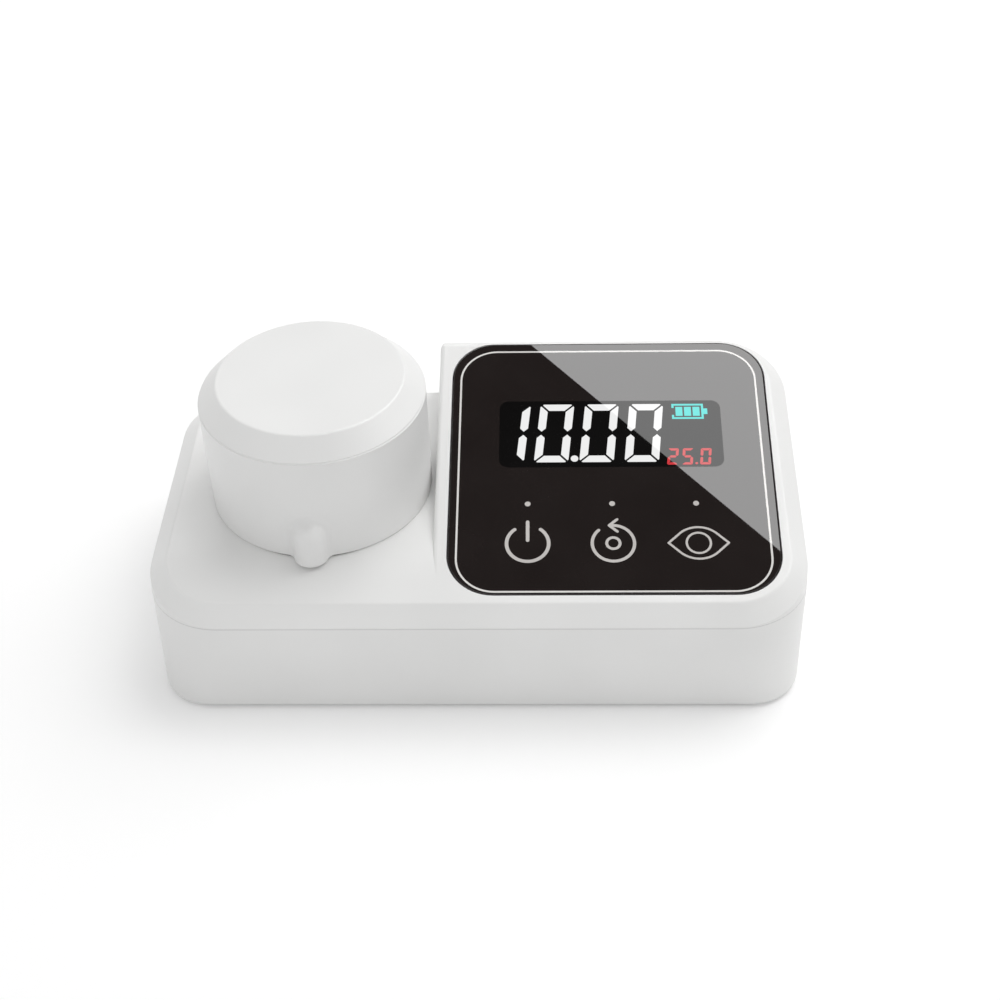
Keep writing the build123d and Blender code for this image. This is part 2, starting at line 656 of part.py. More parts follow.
def make_housing_screws():
    part = screw(SCREW_RADIUS, SCREW_LENGTH, SCREW_HEAD_RADIUS, SCREW_HEAD_HEIGHT)
    return Compound([Pos(x, y, SCREW_SHOULDER) * Rot(180, 0, 0) * part for x, y in boss_places])


def make_rubber_feet():
    foot = Cylinder(FOOT_RADIUS, FOOT_THICKNESS, align=UP)
    foot = fillet(foot.edges().sort_by(Axis.Z)[0], FOOT_ROUND)
    return Compound([Pos(x, y, 0) * foot for x, y in boss_places])


def make_cell_holder():
    """Black well for the sample cell, with a lamp block on one side and a detector block on the other."""
    well = Pos(cell_x, cell_y, floor_top) * Cylinder(well_radius, well_top - floor_top, align=UP)
    well = chamfer(well.edges().sort_by(Axis.Z)[-1], COLLAR_EDGE)
    half = OPTIC_BLOCK / 2
    well += span(
        cell_x - optic_reach, cell_x + optic_reach, cell_y - half, cell_y + half, beam_z - half, beam_z + half
    )
    ear_z = floor_top + EAR_POST
    for sign in (-1, 1):
        y = cell_y + sign * ear_reach
        web = Box(2 * EAR_RADIUS, ear_reach, EAR_THICKNESS, align=UP)
        well += Pos(cell_x, y, ear_z) * Cylinder(EAR_RADIUS, EAR_THICKNESS, align=UP)
        well += Pos(cell_x, (y + cell_y) / 2, ear_z) * web
        well -= Pos(cell_x, y, ear_z) * Cylinder(SMALL_SCREW_RADIUS + HOLE_CLEARANCE, EAR_THICKNESS, align=UP)
    well -= Pos(cell_x, cell_y, cell_bottom) * Cylinder(well_bore, well_top, align=UP)

    # Light path through the walls, then the pockets for lamp, filter and detector
    beam = Pos(cell_x, cell_y, beam_z) * Rot(0, 90, 0)
    well -= beam * Cylinder(BEAM_APERTURE, 2 * optic_reach)
    lamp_bore = Cylinder(LAMP_RADIUS + OPTIC_FIT, optic_reach, align=UP)
    well -= Pos(cell_x - well_radius, cell_y, beam_z) * Rot(0, -90, 0) * lamp_bore
    flange_bore = Cylinder(LAMP_RADIUS + LAMP_FLANGE + OPTIC_FIT, 2 * LAMP_BACK, align=UP)
    well -= Pos(cell_x - optic_reach + LAMP_BACK + OPTIC_FIT, cell_y, beam_z) * Rot(0, -90, 0) * flange_bore
    well -= Pos(cell_x + filter_x, cell_y, beam_z) * Rot(0, 90, 0) * Cylinder(
        FILTER_RADIUS + OPTIC_FIT, optic_reach, align=UP
    )
    for side in (-1, 1):
        for y, z in optic_screws:
            pilot = Rot(0, -side * 90, 0) * small_pilot()
            well -= Pos(cell_x + side * optic_reach, cell_y + side * y, beam_z + z) * pilot
    return well


def make_holder_screws():
    length = EAR_POST + EAR_THICKNESS - EAR_SCREW_SHORT
    part = screw(SMALL_SCREW_RADIUS, length, SMALL_HEAD_RADIUS, SMALL_HEAD_HEIGHT)
    z = floor_top + EAR_POST + EAR_THICKNESS
    return Compound([Pos(cell_x, cell_y + sign * ear_reach, z) * part for sign in (-1, 1)])


def make_source_lamp():
    """Five-millimetre lamp that shines along +X through the cell."""
    length = optic_reach - well_radius - LAMP_BACK - LAMP_NOSE_GAP
    lamp = Cylinder(LAMP_RADIUS, length, align=UP)
    lamp = fillet(lamp.edges().sort_by(Axis.Z)[-1], LAMP_RADIUS * 0.9)
    lamp += Cylinder(LAMP_RADIUS + LAMP_FLANGE, LAMP_FLANGE_HEIGHT, align=DOWN)
    for y, z in lamp_pins:
        lamp += Pos(z, y, -LAMP_FLANGE_HEIGHT) * Box(PIN_SIDE, PIN_SIDE, PIN_LENGTH, align=DOWN)
    return Pos(cell_x - optic_reach + LAMP_BACK, cell_y, beam_z) * Rot(0, 90, 0) * lamp


def optic_board(side, pins):
    """Small board screwed to the face of an optics block."""
    upright = (Align.MIN, Align.CENTER, Align.CENTER)
    board = Box(OPTIC_BOARD_THICKNESS, OPTIC_BOARD, OPTIC_BOARD, align=upright)
    through = 2 * OPTIC_BOARD_THICKNESS + 2 * PAST
    for y, z in optic_screws:
        board -= Pos(0, y, z) * Rot(0, 90, 0) * Cylinder(SMALL_SCREW_RADIUS + HOLE_CLEARANCE, through)
    for y, z in pins:
        board -= Pos(0, y, z) * Box(through, PIN_HOLE, PIN_HOLE)
    plug = Box(PLUG_DEPTH, PLUG_WIDTH, PLUG_HEIGHT, align=PLUG_ALIGN)
    board += Pos(OPTIC_BOARD_THICKNESS, 0, OPTIC_BOARD / 2 - PLUG_HEIGHT) * plug
    if side < 0:
        board = Rot(0, 0, 180) * board
    return Pos(cell_x + side * optic_reach, cell_y, beam_z) * board


def make_optical_filter():
    disc = Cylinder(FILTER_RADIUS, FILTER_THICKNESS, align=UP)
    return Pos(cell_x + filter_x, cell_y, beam_z) * Rot(0, 90, 0) * disc


def make_photodiode():
    """Detector can behind the filter, its window towards the cell."""
    start = filter_x + FILTER_THICKNESS
    length = optic_reach - start - DETECTOR_BACK
    can = Cylinder(DETECTOR_RADIUS, length, align=UP)
    can -= Cylinder(DETECTOR_RADIUS - DETECTOR_WINDOW, DETECTOR_RIM, align=UP)
    can += Pos(0, 0, length - DETECTOR_RIM) * Cylinder(FILTER_RADIUS, DETECTOR_RIM, align=UP)
    for y, z in detector_pins:
        can += Pos(-z, y, length) * Box(PIN_SIDE, PIN_SIDE, PIN_LENGTH, align=UP)
    return Pos(cell_x + start, cell_y, beam_z) * Rot(0, 90, 0) * can


def make_optics_screws():
    part = screw(
        SMALL_SCREW_RADIUS, OPTIC_BOARD_THICKNESS + SMALL_GRIP, SMALL_HEAD_RADIUS, SMALL_HEAD_HEIGHT
    )
    places = []
    for side in (-1, 1):
        for y, z in optic_screws:
            face = cell_x + side * (optic_reach + OPTIC_BOARD_THICKNESS)
            places.append(Pos(face, cell_y + side * y, beam_z + z) * Rot(0, side * 90, 0))
    return Compound([place * part for place in places])


def make_sensor_ribbon():
    """Flat lead from the detector board up and over to the main board."""
    start_x = cell_x + plug_reach
    end_z = console_height(cell_y, socket_depth) - RIBBON_INTO_SOCKET
    level = (plug_top + end_z) / 2
    start = (start_x, cell_y, plug_top)
    end = (ribbon_x, cell_y, end_z)
    corners = [(start_x, cell_y, level), (ribbon_x, cell_y, level)]
    path = FilletPolyline(start, *corners, end, radius=(end_z - level) * 0.9)
    section = Plane(origin=start, x_dir=(0, 1, 0), z_dir=(0, 0, 1))
    return sweep(section * Rectangle(RIBBON_WIDTH, RIBBON_THICKNESS), path=path)


def tube(points, bend, radius):
    """Round lead along straight runs with tangent bends."""
    path = FilletPolyline(*points, radius=bend)
    start = Plane(origin=path @ 0, z_dir=path % 0)
    return sweep(start * Circle(radius), path=path)


def make_lamp_lead():
    """Sheathed lead from the lamp board round the front of the well to the main board."""
    start_x = cell_x - plug_reach
    end_z = console_height(lamp_y, socket_depth) - LEAD_INTO_SOCKET
    points = [
        (start_x, cell_y, plug_top),
        (start_x, cell_y, plug_top + LEAD_RISE),
        (start_x, lamp_y, plug_top),
        (lamp_x, lamp_y, end_z - LEAD_STANDOFF),
        (lamp_x, lamp_y, end_z),
    ]
    return tube(points, LEAD_BEND, LEAD_RADIUS)


def aa_cell(y, plus):
    """AA cell along X, its nub towards plus."""
    body = Cylinder(AA_RADIUS, AA_LENGTH - AA_NUB, align=UP)
    body = fillet(body.edges(), AA_ROUND)
    body += Pos(0, 0, AA_LENGTH - AA_NUB) * Cylinder(AA_NUB_RADIUS, AA_NUB, align=UP)
    x = bay_x - plus * AA_LENGTH / 2
    return Pos(x, y, aa_z) * Rot(0, plus * 90, 0) * body


def contact_spring(side, y):
    """Coned battery spring on the bay's left (-1) or right (+1) end."""
    length = CONTACT_SPACE - CONTACT_PLATE
    cone = Cone(SPRING_WIDE, SPRING_NARROW, length, align=UP)
    cone -= Cone(SPRING_WIDE - SPRING_WIRE, SPRING_NARROW - SPRING_WIRE, length, align=UP)
    x = bay_x0 + CONTACT_PLATE if side < 0 else bay_x1 - CONTACT_PLATE
    return Pos(x, y, aa_z) * Rot(0, -side * 90, 0) * cone


def contact_dimple(side, y):
    """Pressed dimple that meets a battery's nub."""
    length = CONTACT_SPACE - CONTACT_PLATE
    dimple = Cylinder(DIMPLE_RADIUS, length, align=UP)
    dimple = chamfer(dimple.edges().sort_by(Axis.Z)[-1], DIMPLE_EDGE)
    x = bay_x0 + CONTACT_PLATE if side < 0 else bay_x1 - CONTACT_PLATE
    return Pos(x, y, aa_z) * Rot(0, -side * 90, 0) * dimple


def make_contact_bridge():
    half = CONTACT_WIDTH / 2
    plate = span(
        bay_x0, bay_x0 + CONTACT_PLATE, aa_front_y - half, aa_back_y + half, aa_z - half, aa_z + half
    )
    return plate + contact_spring(-1, aa_front_y) + contact_dimple(-1, aa_back_y)


def contact_tab(y):
    """Single contact plate with its solder tab through the compartment's roof."""
    half = CONTACT_WIDTH / 2
    plate = span(bay_x1 - CONTACT_PLATE, bay_x1, y - half, y + half, aa_z - half, aa_z + half)
    tab = CONTACT_TAB / 2
    return plate + span(bay_x1 - CONTACT_PLATE, bay_x1, y - tab, y + tab, aa_z, tab_top)


def make_contact_positive():
    return contact_tab(aa_front_y) + contact_dimple(1, aa_front_y)


def make_contact_negative():
    return contact_tab(aa_back_y) + contact_spring(1, aa_back_y)


def make_battery_leads():
    """Two leads from the contact tabs up to the main board."""
    leads = []
    x = bay_x1 - CONTACT_PLATE / 2
    end_x = post_xs[1] - BATTERY_LEAD_SIDE
    board_edge = on_console(x, BOARD_FRONT + board_length - BATTERY_LEAD_EDGE, board_bottom)
    for y, end_y in ((aa_front_y, aa_front_y), (aa_back_y, board_edge.position.Y)):
        top = console_height(end_y, board_bottom) - LEAD_RADIUS * tan(tilt) - LEAD_END_GAP
        rise = top - tab_top
        points = [
            (x, y, tab_top),
            (x - BATTERY_LEAD_SWAY, y, tab_top + rise * 0.35),
            (end_x + BATTERY_LEAD_SWAY, end_y, tab_top + rise * 0.7),
            (end_x, end_y, top),
        ]
        leads.append(tube(points, BATTERY_LEAD_BEND, LEAD_RADIUS))
    return Compound(leads)


def make_deck_seal():
    """Foam ring in the deck that the shield's rim closes on."""
    seal = ring(seal_outer - SEAL_WIDTH, seal_outer, SEAL_THICKNESS)
    return Pos(cell_x, cell_y, PLATFORM_HEIGHT - SEAL_THICKNESS) * seal


def turned(points):
    """Solid of revolution about the cell axis from (radius, height) points."""
    profile = make_face(Polyline(*[(r, 0, z) for r, z in points], close=True))
    return Pos(cell_x, cell_y, 0) * revolve(profile, Axis.Z)


def make_sample_cell():
    inner = CELL_RADIUS - CELL_WALL
    neck = CELL_NECK_RADIUS - CELL_WALL
    neck_start = CELL_NECK_TOP - CELL_NECK_HEIGHT
    body_top = neck_start - CELL_SHOULDER
    turn_in = CELL_CORNER * 0.9
    outside = [
        (0, 0), (CELL_RADIUS - CELL_CORNER, 0), (CELL_RADIUS, CELL_CORNER), (CELL_RADIUS, body_top),
        (CELL_RADIUS - turn_in, body_top + CELL_SHOULDER * 0.45),
        (CELL_NECK_RADIUS, neck_start), (CELL_NECK_RADIUS, CELL_NECK_TOP),
    ]
    inside = [
        (neck, CELL_NECK_TOP), (neck, neck_start - turn_in), (inner - turn_in, body_top + turn_in),
        (inner, body_top - turn_in), (inner, CELL_BASE + CELL_CORNER), (inner - CELL_CORNER, CELL_BASE),
        (0, CELL_BASE),
    ]
    return turned([(r, cell_bottom + z) for r, z in outside + inside])


def make_cell_liner():
    z = cell_bottom + CELL_NECK_TOP
    disc = Cylinder(CELL_NECK_RADIUS + LINER_OVER, LINER_THICKNESS, align=UP)
    return Pos(cell_x, cell_y, z) * disc


def make_cell_cap():
    """Screw cap of the cell, with grip flutes."""
    bottom = cell_bottom + CELL_NECK_TOP - CLOSURE_SKIRT
    depth = closure_top - CLOSURE_TOP - bottom
    cap = Pos(cell_x, cell_y, bottom) * Cylinder(closure_radius, closure_top - bottom, align=UP)
    cap = fillet(cap.edges().sort_by(Axis.Z)[-1], CLOSURE_ROUND)
    cap -= Pos(cell_x, cell_y, bottom) * Cylinder(CELL_NECK_RADIUS + CLOSURE_FIT, depth, align=UP)
    flute = Cylinder(FLUTE_RADIUS, depth - FLUTE_RADIUS, align=UP)
    for spot in PolarLocations(closure_radius + FLUTE_OUT, FLUTES):
        cap -= Pos(cell_x, cell_y, bottom) * spot * flute
    return cap


def make_shield_foot():
    """Lower band of the shield with its pointer nose, an upright domed rib blended into the wall."""
    half = NOSE_WIDTH / 2
    upright = NOSE_HEIGHT - half
    rib = Cylinder(half, upright, align=UP) + Pos(0, 0, upright) * Sphere(half)
    reach = SHIELD_RADIUS + NOSE_REACH - half
    foot = Cylinder(SHIELD_RADIUS, foot_height, align=UP) + Pos(0, -reach, 0) * rib
    root = foot.edges().filter_by(
        lambda e: 0 < e.center().Z < foot_height - NOSE_BLEND
        and e.center().Y < -half
        and hypot(e.center().X, e.center().Y) < SHIELD_RADIUS + NOSE_REACH / 2
    )
    foot = fillet(root, NOSE_BLEND)
    return chamfer(foot.faces().sort_by(Axis.Z)[0].edges(), SHIELD_EDGE)


def make_shield_cap():
    """Light shield: a hollow cup with a broad conical shoulder, keyed and pointed at the front."""
    inner = SHIELD_RADIUS - SHIELD_WALL
    low = shield_shoulder
    g = RING_GROOVE
    slope = SHIELD_CONE_DOWN / SHIELD_CONE_IN
    points = [
        (0, foot_height), (SHIELD_RADIUS, foot_height),
        (SHIELD_RADIUS, low - g), (SHIELD_RADIUS - g, low), (SHIELD_RADIUS - g, low + g * slope),
        (shield_top_radius, shield_height), (0, shield_height),
    ]
    cup = revolve(make_face(Polyline(*[(r, 0, z) for r, z in points], close=True)), Axis.Z)
    cup = fillet(cup.edges().filter_by(GeomType.CIRCLE).sort_by(Axis.Z)[-1], CROWN_ROUND)
    cup += make_shield_foot()
    crown = shield_height - SHIELD_CROWN
    hollow = [
        (0, -PAST), (inner, -PAST), (inner, low - SHIELD_THROAT_DROP),
        (shield_top_radius - SHIELD_THROAT, crown), (0, crown),
    ]
    cup -= revolve(make_face(Polyline(*[(r, 0, z) for r, z in hollow], close=True)), Axis.Z)
    key_slot = KEY_WIDTH / 2 + COLLAR_CLEARANCE
    cup -= span(-key_slot, key_slot, -inner - KEY_REACH, COLLAR_WALL / 2 - inner, -PAST, COLLAR_HEIGHT)
    return Pos(cell_x, cell_y, PLATFORM_HEIGHT) * cup


def make_battery_door():
    """Sliding cover under the batteries, with a tongue along each side and a ribbed grip."""
    half = bay_length / 2 - DOOR_LEDGE - DOOR_GAP
    y0 = bay_y0 + DOOR_GAP
    y1 = back_y - BASE_INSET
    grip = GRIP_WIDTH / 2
    door = span(bay_x - half, bay_x + half, y0, y1, FOOT_PROUD, floor_top)
    reach = half + TONGUE
    z = FOOT_PROUD + TONGUE_UP
    door += span(bay_x - reach, bay_x + reach, y0, y1 - WALL, z, z + TONGUE_THICKNESS)
    back_edges = door.edges().filter_by(Axis.X).filter_by(lambda e: e.center().Z < z)
    door = chamfer(back_edges.sort_by(Axis.Y)[-1], BASE_BREAK)
    for row in range(4):
        y = y0 + GRIP_START + row * GRIP_PITCH
        door -= span(bay_x - grip, bay_x + grip, y, y + GRIP_GROOVE, 0, FOOT_PROUD + GRIP_DEPTH)
    return door


nodes = {
    "upper_shell": make_upper_shell(),
    "lower_shell": make_lower_shell(),
    "touch_panel": make_touch_panel(),
    "panel_adhesive": make_panel_adhesive(),
    "display_module": make_display_module(),
    "main_board": make_main_board(),
    "touch_springs": make_touch_springs(),
    "indicator_leds": make_indicator_leds(),
    "board_screws": make_board_screws(),
    "housing_screws": make_housing_screws(),
    "rubber_feet": make_rubber_feet(),
    "cell_holder": make_cell_holder(),
    "holder_screws": make_holder_screws(),
    "source_lamp": make_source_lamp(),
    "lamp_board": optic_board(-1, lamp_pins),
    "optical_filter": make_optical_filter(),
    "photodiode": make_photodiode(),
    "detector_board": optic_board(1, detector_pins),
    "optics_screws": make_optics_screws(),
    "sensor_ribbon": make_sensor_ribbon(),
    "lamp_lead": make_lamp_lead(),
    "battery_front": aa_cell(aa_front_y, 1),
    "battery_back": aa_cell(aa_back_y, -1),
    "contact_bridge": make_contact_bridge(),
    "contact_positive": make_contact_positive(),
    "contact_negative": make_contact_negative(),
    "battery_leads": make_battery_leads(),
    "deck_seal": make_deck_seal(),
    "sample_cell": make_sample_cell(),
    "cell_liner": make_cell_liner(),
    "cell_cap": make_cell_cap(),
    "shield_cap": make_shield_cap(),
    "battery_door": make_battery_door(),
}

os.makedirs("parts", exist_ok=True)
for name, shape in nodes.items():
    export_step(shape, f"parts/{name}.step")
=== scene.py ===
from math import cos, pi, radians, sin
import bpy
from mathutils import Matrix, Vector


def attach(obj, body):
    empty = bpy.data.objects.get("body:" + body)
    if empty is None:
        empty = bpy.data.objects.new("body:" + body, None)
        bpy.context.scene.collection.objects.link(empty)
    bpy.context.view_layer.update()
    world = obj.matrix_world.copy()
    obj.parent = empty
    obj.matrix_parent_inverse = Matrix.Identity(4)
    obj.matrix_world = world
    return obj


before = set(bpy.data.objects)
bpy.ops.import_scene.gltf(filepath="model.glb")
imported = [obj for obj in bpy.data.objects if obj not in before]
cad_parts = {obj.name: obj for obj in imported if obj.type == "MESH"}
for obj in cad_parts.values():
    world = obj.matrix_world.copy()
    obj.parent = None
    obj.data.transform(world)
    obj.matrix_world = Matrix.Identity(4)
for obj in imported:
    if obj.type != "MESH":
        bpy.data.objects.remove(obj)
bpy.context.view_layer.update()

bpy.ops.object.select_all(action="DESELECT")
MM = 0.001

# Housing halves, battery cover and light shield: white ABS, injection moulded in
# polished tools with a very fine spark texture, so they are satin, with soft
# highlights along the bevels and faint waves where the walls cooled.
ABS_WHITE = "#EEEEED"
ABS_SHADE = "#E9E9E8"
# The real texture is some 0.05 mm across, and is drawn coarser so that it shows
SPARK_GRAIN = 0.7 * MM
COOLING_WAVE = 30 * MM
# Part of a noise's range over which a surface goes from one tone to the other
LOW_TONE_AT = 0.3
HIGH_TONE_AT = 0.7
MOULDED_GLOSS_SPREAD = 0.05


def linear(hex_colour):
    """sRGB hex colour as linear red, green, blue and alpha."""
    channels = [int(hex_colour[i:i + 2], 16) / 255 for i in (1, 3, 5)]
    return [c / 12.92 if c <= 0.04045 else ((c + 0.055) / 1.055) ** 2.4 for c in channels] + [1.0]


def grey(value):
    """Plain value as a colour, for stops that feed a number."""
    return (value, value, value, 1.0)


def new_material(name):
    """Material with an empty node tree."""
    material = bpy.data.materials.new(name)
    material.use_nodes = True
    material.node_tree.nodes.clear()
    return material


def add_node(owner, kind, inputs=None, stops=(), **settings):
    """Adds a node with its settings; an input is a value or the output that feeds it."""
    tree = owner.node_tree
    node = tree.nodes.new("ShaderNode" + kind)
    for name, value in settings.items():
        setattr(node, name, value)
    for socket, value in (inputs or {}).items():
        if isinstance(value, bpy.types.NodeSocket):
            tree.links.new(value, node.inputs[socket])
        else:
            node.inputs[socket].default_value = value
    for number, (position, colour) in enumerate(stops):
        if number > 1:
            node.color_ramp.elements.new(position)
        node.color_ramp.elements[number].position = position
        node.color_ramp.elements[number].color = colour
    return node


def between(low, high):
    """Stops that lead from one colour to another over the middle of a noise's range."""
    return ((LOW_TONE_AT, low), (HIGH_TONE_AT, high))


def moulded(name, colour, shade, roughness, grain, depth, wave, **settings):
    """Moulded plastic or rubber: a grained surface, with a slow change of tone and of gloss.

    Where the real grain is too fine to show, the one given is as coarse as it needs to be.
    """
    material = new_material(name)
    where = add_node(material, "TexCoord").outputs["Object"]
    fine = add_node(material, "TexNoise", {"Vector": where, "Scale": 1 / grain, "Detail": 3.0})
    slow = add_node(material, "TexNoise", {"Vector": where, "Scale": 1 / wave, "Detail": 1.0})
    relief = {"Height": fine.outputs["Fac"], "Distance": depth, "Strength": 0.5}
    bump = add_node(material, "Bump", relief)
    tones = between(linear(shade), linear(colour))
    tone = add_node(material, "ValToRGB", {"Fac": slow.outputs["Fac"]}, tones)
    smooth = grey(roughness - MOULDED_GLOSS_SPREAD)
    rough = grey(roughness + MOULDED_GLOSS_SPREAD)
    gloss = add_node(material, "ValToRGB", {"Fac": fine.outputs["Fac"]}, between(smooth, rough))
    inputs = {
        "Base Color": tone.outputs["Color"],
        "Roughness": gloss.outputs["Color"],
        "Normal": bump.outputs["Normal"],
    }
    inputs.update(settings)
    shader = add_node(material, "BsdfPrincipled", inputs)
    add_node(material, "OutputMaterial", {"Surface": shader.outputs["BSDF"]})
    return material


def finish_nodes(material, *names):
    """Gives CAD nodes their material."""
    for name in names:
        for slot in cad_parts[name].material_slots:
            slot.material = material


white_abs = moulded(
    "spark_textured_white_abs", ABS_WHITE, ABS_SHADE, roughness=0.4, grain=SPARK_GRAIN, depth=0.004 * MM,
    wave=COOLING_WAVE,
)
finish_nodes(white_abs, "upper_shell", "lower_shell", "battery_door", "shield_cap")

# Touch panel: soda-lime cover glass with a brown-black print fired on its back. The
# print shows through the polished face, which carries faint wiping marks.
GLASS_PRINT = "#262120"
GLASS_PRINT_DEEP = "#221D1C"
WIPING_MARK = 18 * MM
POLISHED_ROUGHNESS = 0.004
WIPED_ROUGHNESS = 0.012


def polished(name, colour, shade, **settings):
    """Dark or lit layer under a polished face, with faint changes of gloss."""
    material = new_material(name)
    where = add_node(material, "TexCoord").outputs["Object"]
    noise = add_node(material, "TexNoise", {"Vector": where, "Scale": 1 / WIPING_MARK, "Detail": 2.0})
    marks = noise.outputs["Fac"]
    tone = add_node(material, "ValToRGB", {"Fac": marks}, between(linear(shade), linear(colour)))
    wiped = between(grey(POLISHED_ROUGHNESS), grey(WIPED_ROUGHNESS))
    gloss = add_node(material, "ValToRGB", {"Fac": marks}, wiped)
    inputs = {"Base Color": tone.outputs["Color"], "Roughness": gloss.outputs["Color"], "IOR": 1.52}
    inputs.update(settings)
    shader = add_node(material, "BsdfPrincipled", inputs)
    add_node(material, "OutputMaterial", {"Surface": shader.outputs["BSDF"]})
    return material


panel_glass = polished("back_printed_cover_glass", GLASS_PRINT, GLASS_PRINT_DEEP)
finish_nodes(panel_glass, "touch_panel")

# Border line: a bright silver line screen-printed on the glass, close to its edge and
# parallel to it, with larger corners than a plain rectangle would have.
SLOPE = radians(14.6)
SLOPE_FRONT = (0, -39 * MM, 32.8 * MM)
PRINT_THICKNESS = 0.04 * MM
PRINT_STEP = 0.0005 * MM
LINE_X = (-5.3 * MM, 71.0 * MM)
LINE_V = (3.0 * MM, 76.6 * MM)
LINE_RADIUS = 9.6 * MM
LINE_WIDTH = 0.48 * MM


def edit(obj, mode="VERT"):
    """Opens an object in edit mode with nothing selected."""
    bpy.ops.object.select_all(action="DESELECT")
    bpy.context.view_layer.objects.active = obj
    obj.select_set(True)
    bpy.ops.object.mode_set(mode="EDIT")
    bpy.ops.mesh.select_mode(type=mode)
    bpy.ops.mesh.select_all(action="DESELECT")


def keep(obj):
    """Closes edit mode and returns the object."""
    bpy.ops.object.mode_set(mode="OBJECT")
    return obj


def set_down(obj):
    """Puts an object's place, turn and size into its mesh."""
    bpy.ops.object.select_all(action="DESELECT")
    obj.select_set(True)
    bpy.ops.object.transform_apply(location=True, rotation=True, scale=True)
    return obj


def rectangle(x, v, radius=0, segments=10):
    """Flat rectangle between two corners, with rounded corners if a radius is given."""
    centre = ((x[0] + x[1]) / 2, (v[0] + v[1]) / 2, 0)
    bpy.ops.mesh.primitive_plane_add(size=1, location=centre)
    obj = bpy.context.object
    obj.scale = (x[1] - x[0], v[1] - v[0], 1)
    set_down(obj)
    if radius:
        edit(obj)
        bpy.ops.mesh.select_all(action="SELECT")
        bpy.ops.mesh.bevel(offset=radius, segments=segments, affect="VERTICES")
        keep(obj)
    return obj


def outline_only(obj, width):
    """Cuts a flat shape down to a line of that width along its edge."""
    edit(obj, "FACE")
    bpy.ops.mesh.select_all(action="SELECT")
    bpy.ops.mesh.inset(thickness=width, depth=0)
    bpy.ops.mesh.delete(type="FACE")
    return keep(obj)


def join(name, parts):
    """Joins flat shapes into one piece, each a hair above the last where they cross."""
    bpy.ops.object.select_all(action="DESELECT")
    for number, part in enumerate(parts):
        part.data.transform(Matrix.Translation((0, 0, number * PRINT_STEP)))
        part.select_set(True)
    bpy.context.view_layer.objects.active = parts[0]
    if len(parts) > 1:
        bpy.ops.object.join()
    obj = bpy.context.object
    obj.name = obj.data.name = name
    return obj


def thicken(obj, thickness, offset=0.0):
    """Gives a flat shape its thickness, half to each side or, with an offset, outwards."""
    thick = obj.modifiers.new("thickness", "SOLIDIFY")
    thick.thickness = thickness
    thick.offset = offset
    bpy.context.view_layer.objects.active = obj
    bpy.ops.object.modifier_apply(modifier="thickness")
    return obj


def lay_on_slope(obj, material, lift=0.0):
    """Gives a flat print its thickness, lays it on the glass and fixes it to the housing."""
    thicken(obj, PRINT_THICKNESS)
    obj.rotation_euler = (SLOPE, 0, 0)
    obj.location = Vector(SLOPE_FRONT) + lift * Vector((0, -sin(SLOPE), cos(SLOPE)))
    set_down(obj)
    obj.data.materials.append(material)
    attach(obj, "housing")


silver_ink = polished("silver_screen_print", "#E9E7E4", "#DFDDDA")
border = outline_only(rectangle(LINE_X, LINE_V, LINE_RADIUS, segments=16), LINE_WIDTH)
lay_on_slope(join("border_line", [border]), silver_ink)

# Display window: the only part of the glass with a clear back, so the black face of
# the display shows through it as the darkest part of the panel.
WINDOW_X = (5.0 * MM, 61.2 * MM)
WINDOW_V = (39.3 * MM, 60.0 * MM)
WINDOW_RADIUS = 2.4 * MM
WINDOW_LIFT = 0.005 * MM
WINDOW_SPECULAR = {"Specular IOR Level": 0.26}
window_glass = polished("clear_window_over_black_display", "#131212", "#0F0E0E", **WINDOW_SPECULAR)
window = join("display_window", [rectangle(WINDOW_X, WINDOW_V, WINDOW_RADIUS, segments=8)])
lay_on_slope(window, window_glass, WINDOW_LIFT)

# Lit figures: seven-segment numbers with mitred bars and a slight lean, lit from
# behind in white through the display's diffuser.
DIGIT_WIDTH = 8.6 * MM
DIGIT_HEIGHT = 18.1 * MM
DIGIT_BAR = 2.0 * MM
DIGIT_GAP = 0.36 * MM
DIGIT_LEAN = 0.1
DIGIT_V = 40.8 * MM
DIGIT_X = (2.6 * MM, 13.7 * MM, 25.05 * MM, 36.35 * MM)
POINT_AT = (23.9 * MM, 41.9 * MM)
POINT_RADIUS = 0.95 * MM
LIT_LIFT = 0.02 * MM
# Corner cut as a part of the bar's width, and point's set-back in gaps
CORNER_CUT = 0.42
POINT_SET_BACK = 1.4
LIT_BARS = {"0": "abcdef", "1": "bc", "2": "abged", "5": "afgcd"}
DIFFUSER = "#101010"
DIFFUSER_DEEP = "#0C0C0C"


def lit(name, colour):
    """Lit layer behind the window's glass: the light comes through, the face still reflects."""
    light = {"Emission Color": linear(colour), "Emission Strength": 1.0}
    return polished(name, DIFFUSER, DIFFUSER_DEEP, **WINDOW_SPECULAR, **light)


def trim(obj, point, normal):
    """Cuts away what lies past a line, on the side that the normal points to."""
    edit(obj, "FACE")
    bpy.ops.mesh.select_all(action="SELECT")
    bpy.ops.mesh.bisect(plane_co=(*point, 0), plane_no=(*normal, 0), clear_outer=True)
    bpy.ops.mesh.select_all(action="SELECT")
    bpy.ops.mesh.delete_loose()
    return keep(obj)


def upright_bar(x, v, height, width, gap, up, side):
    """Upright bar, mitred at the corner that up and side point to and pointed at its other end."""
    obj = rectangle((x, x + width), (v, v + height))
    corner_x = x + width / 2 + side * width / 2
    corner_v = v + (height if up > 0 else 0)
    trim(obj, (corner_x, corner_v - up * gap), (-side, up))
    trim(obj, (corner_x, corner_v - up * CORNER_CUT * width), (side, up))
    tip = (x + width / 2, v + (0 if up > 0 else height) + POINT_SET_BACK * up * gap)
    trim(obj, tip, (1, -up))
    return trim(obj, tip, (-1, -up))


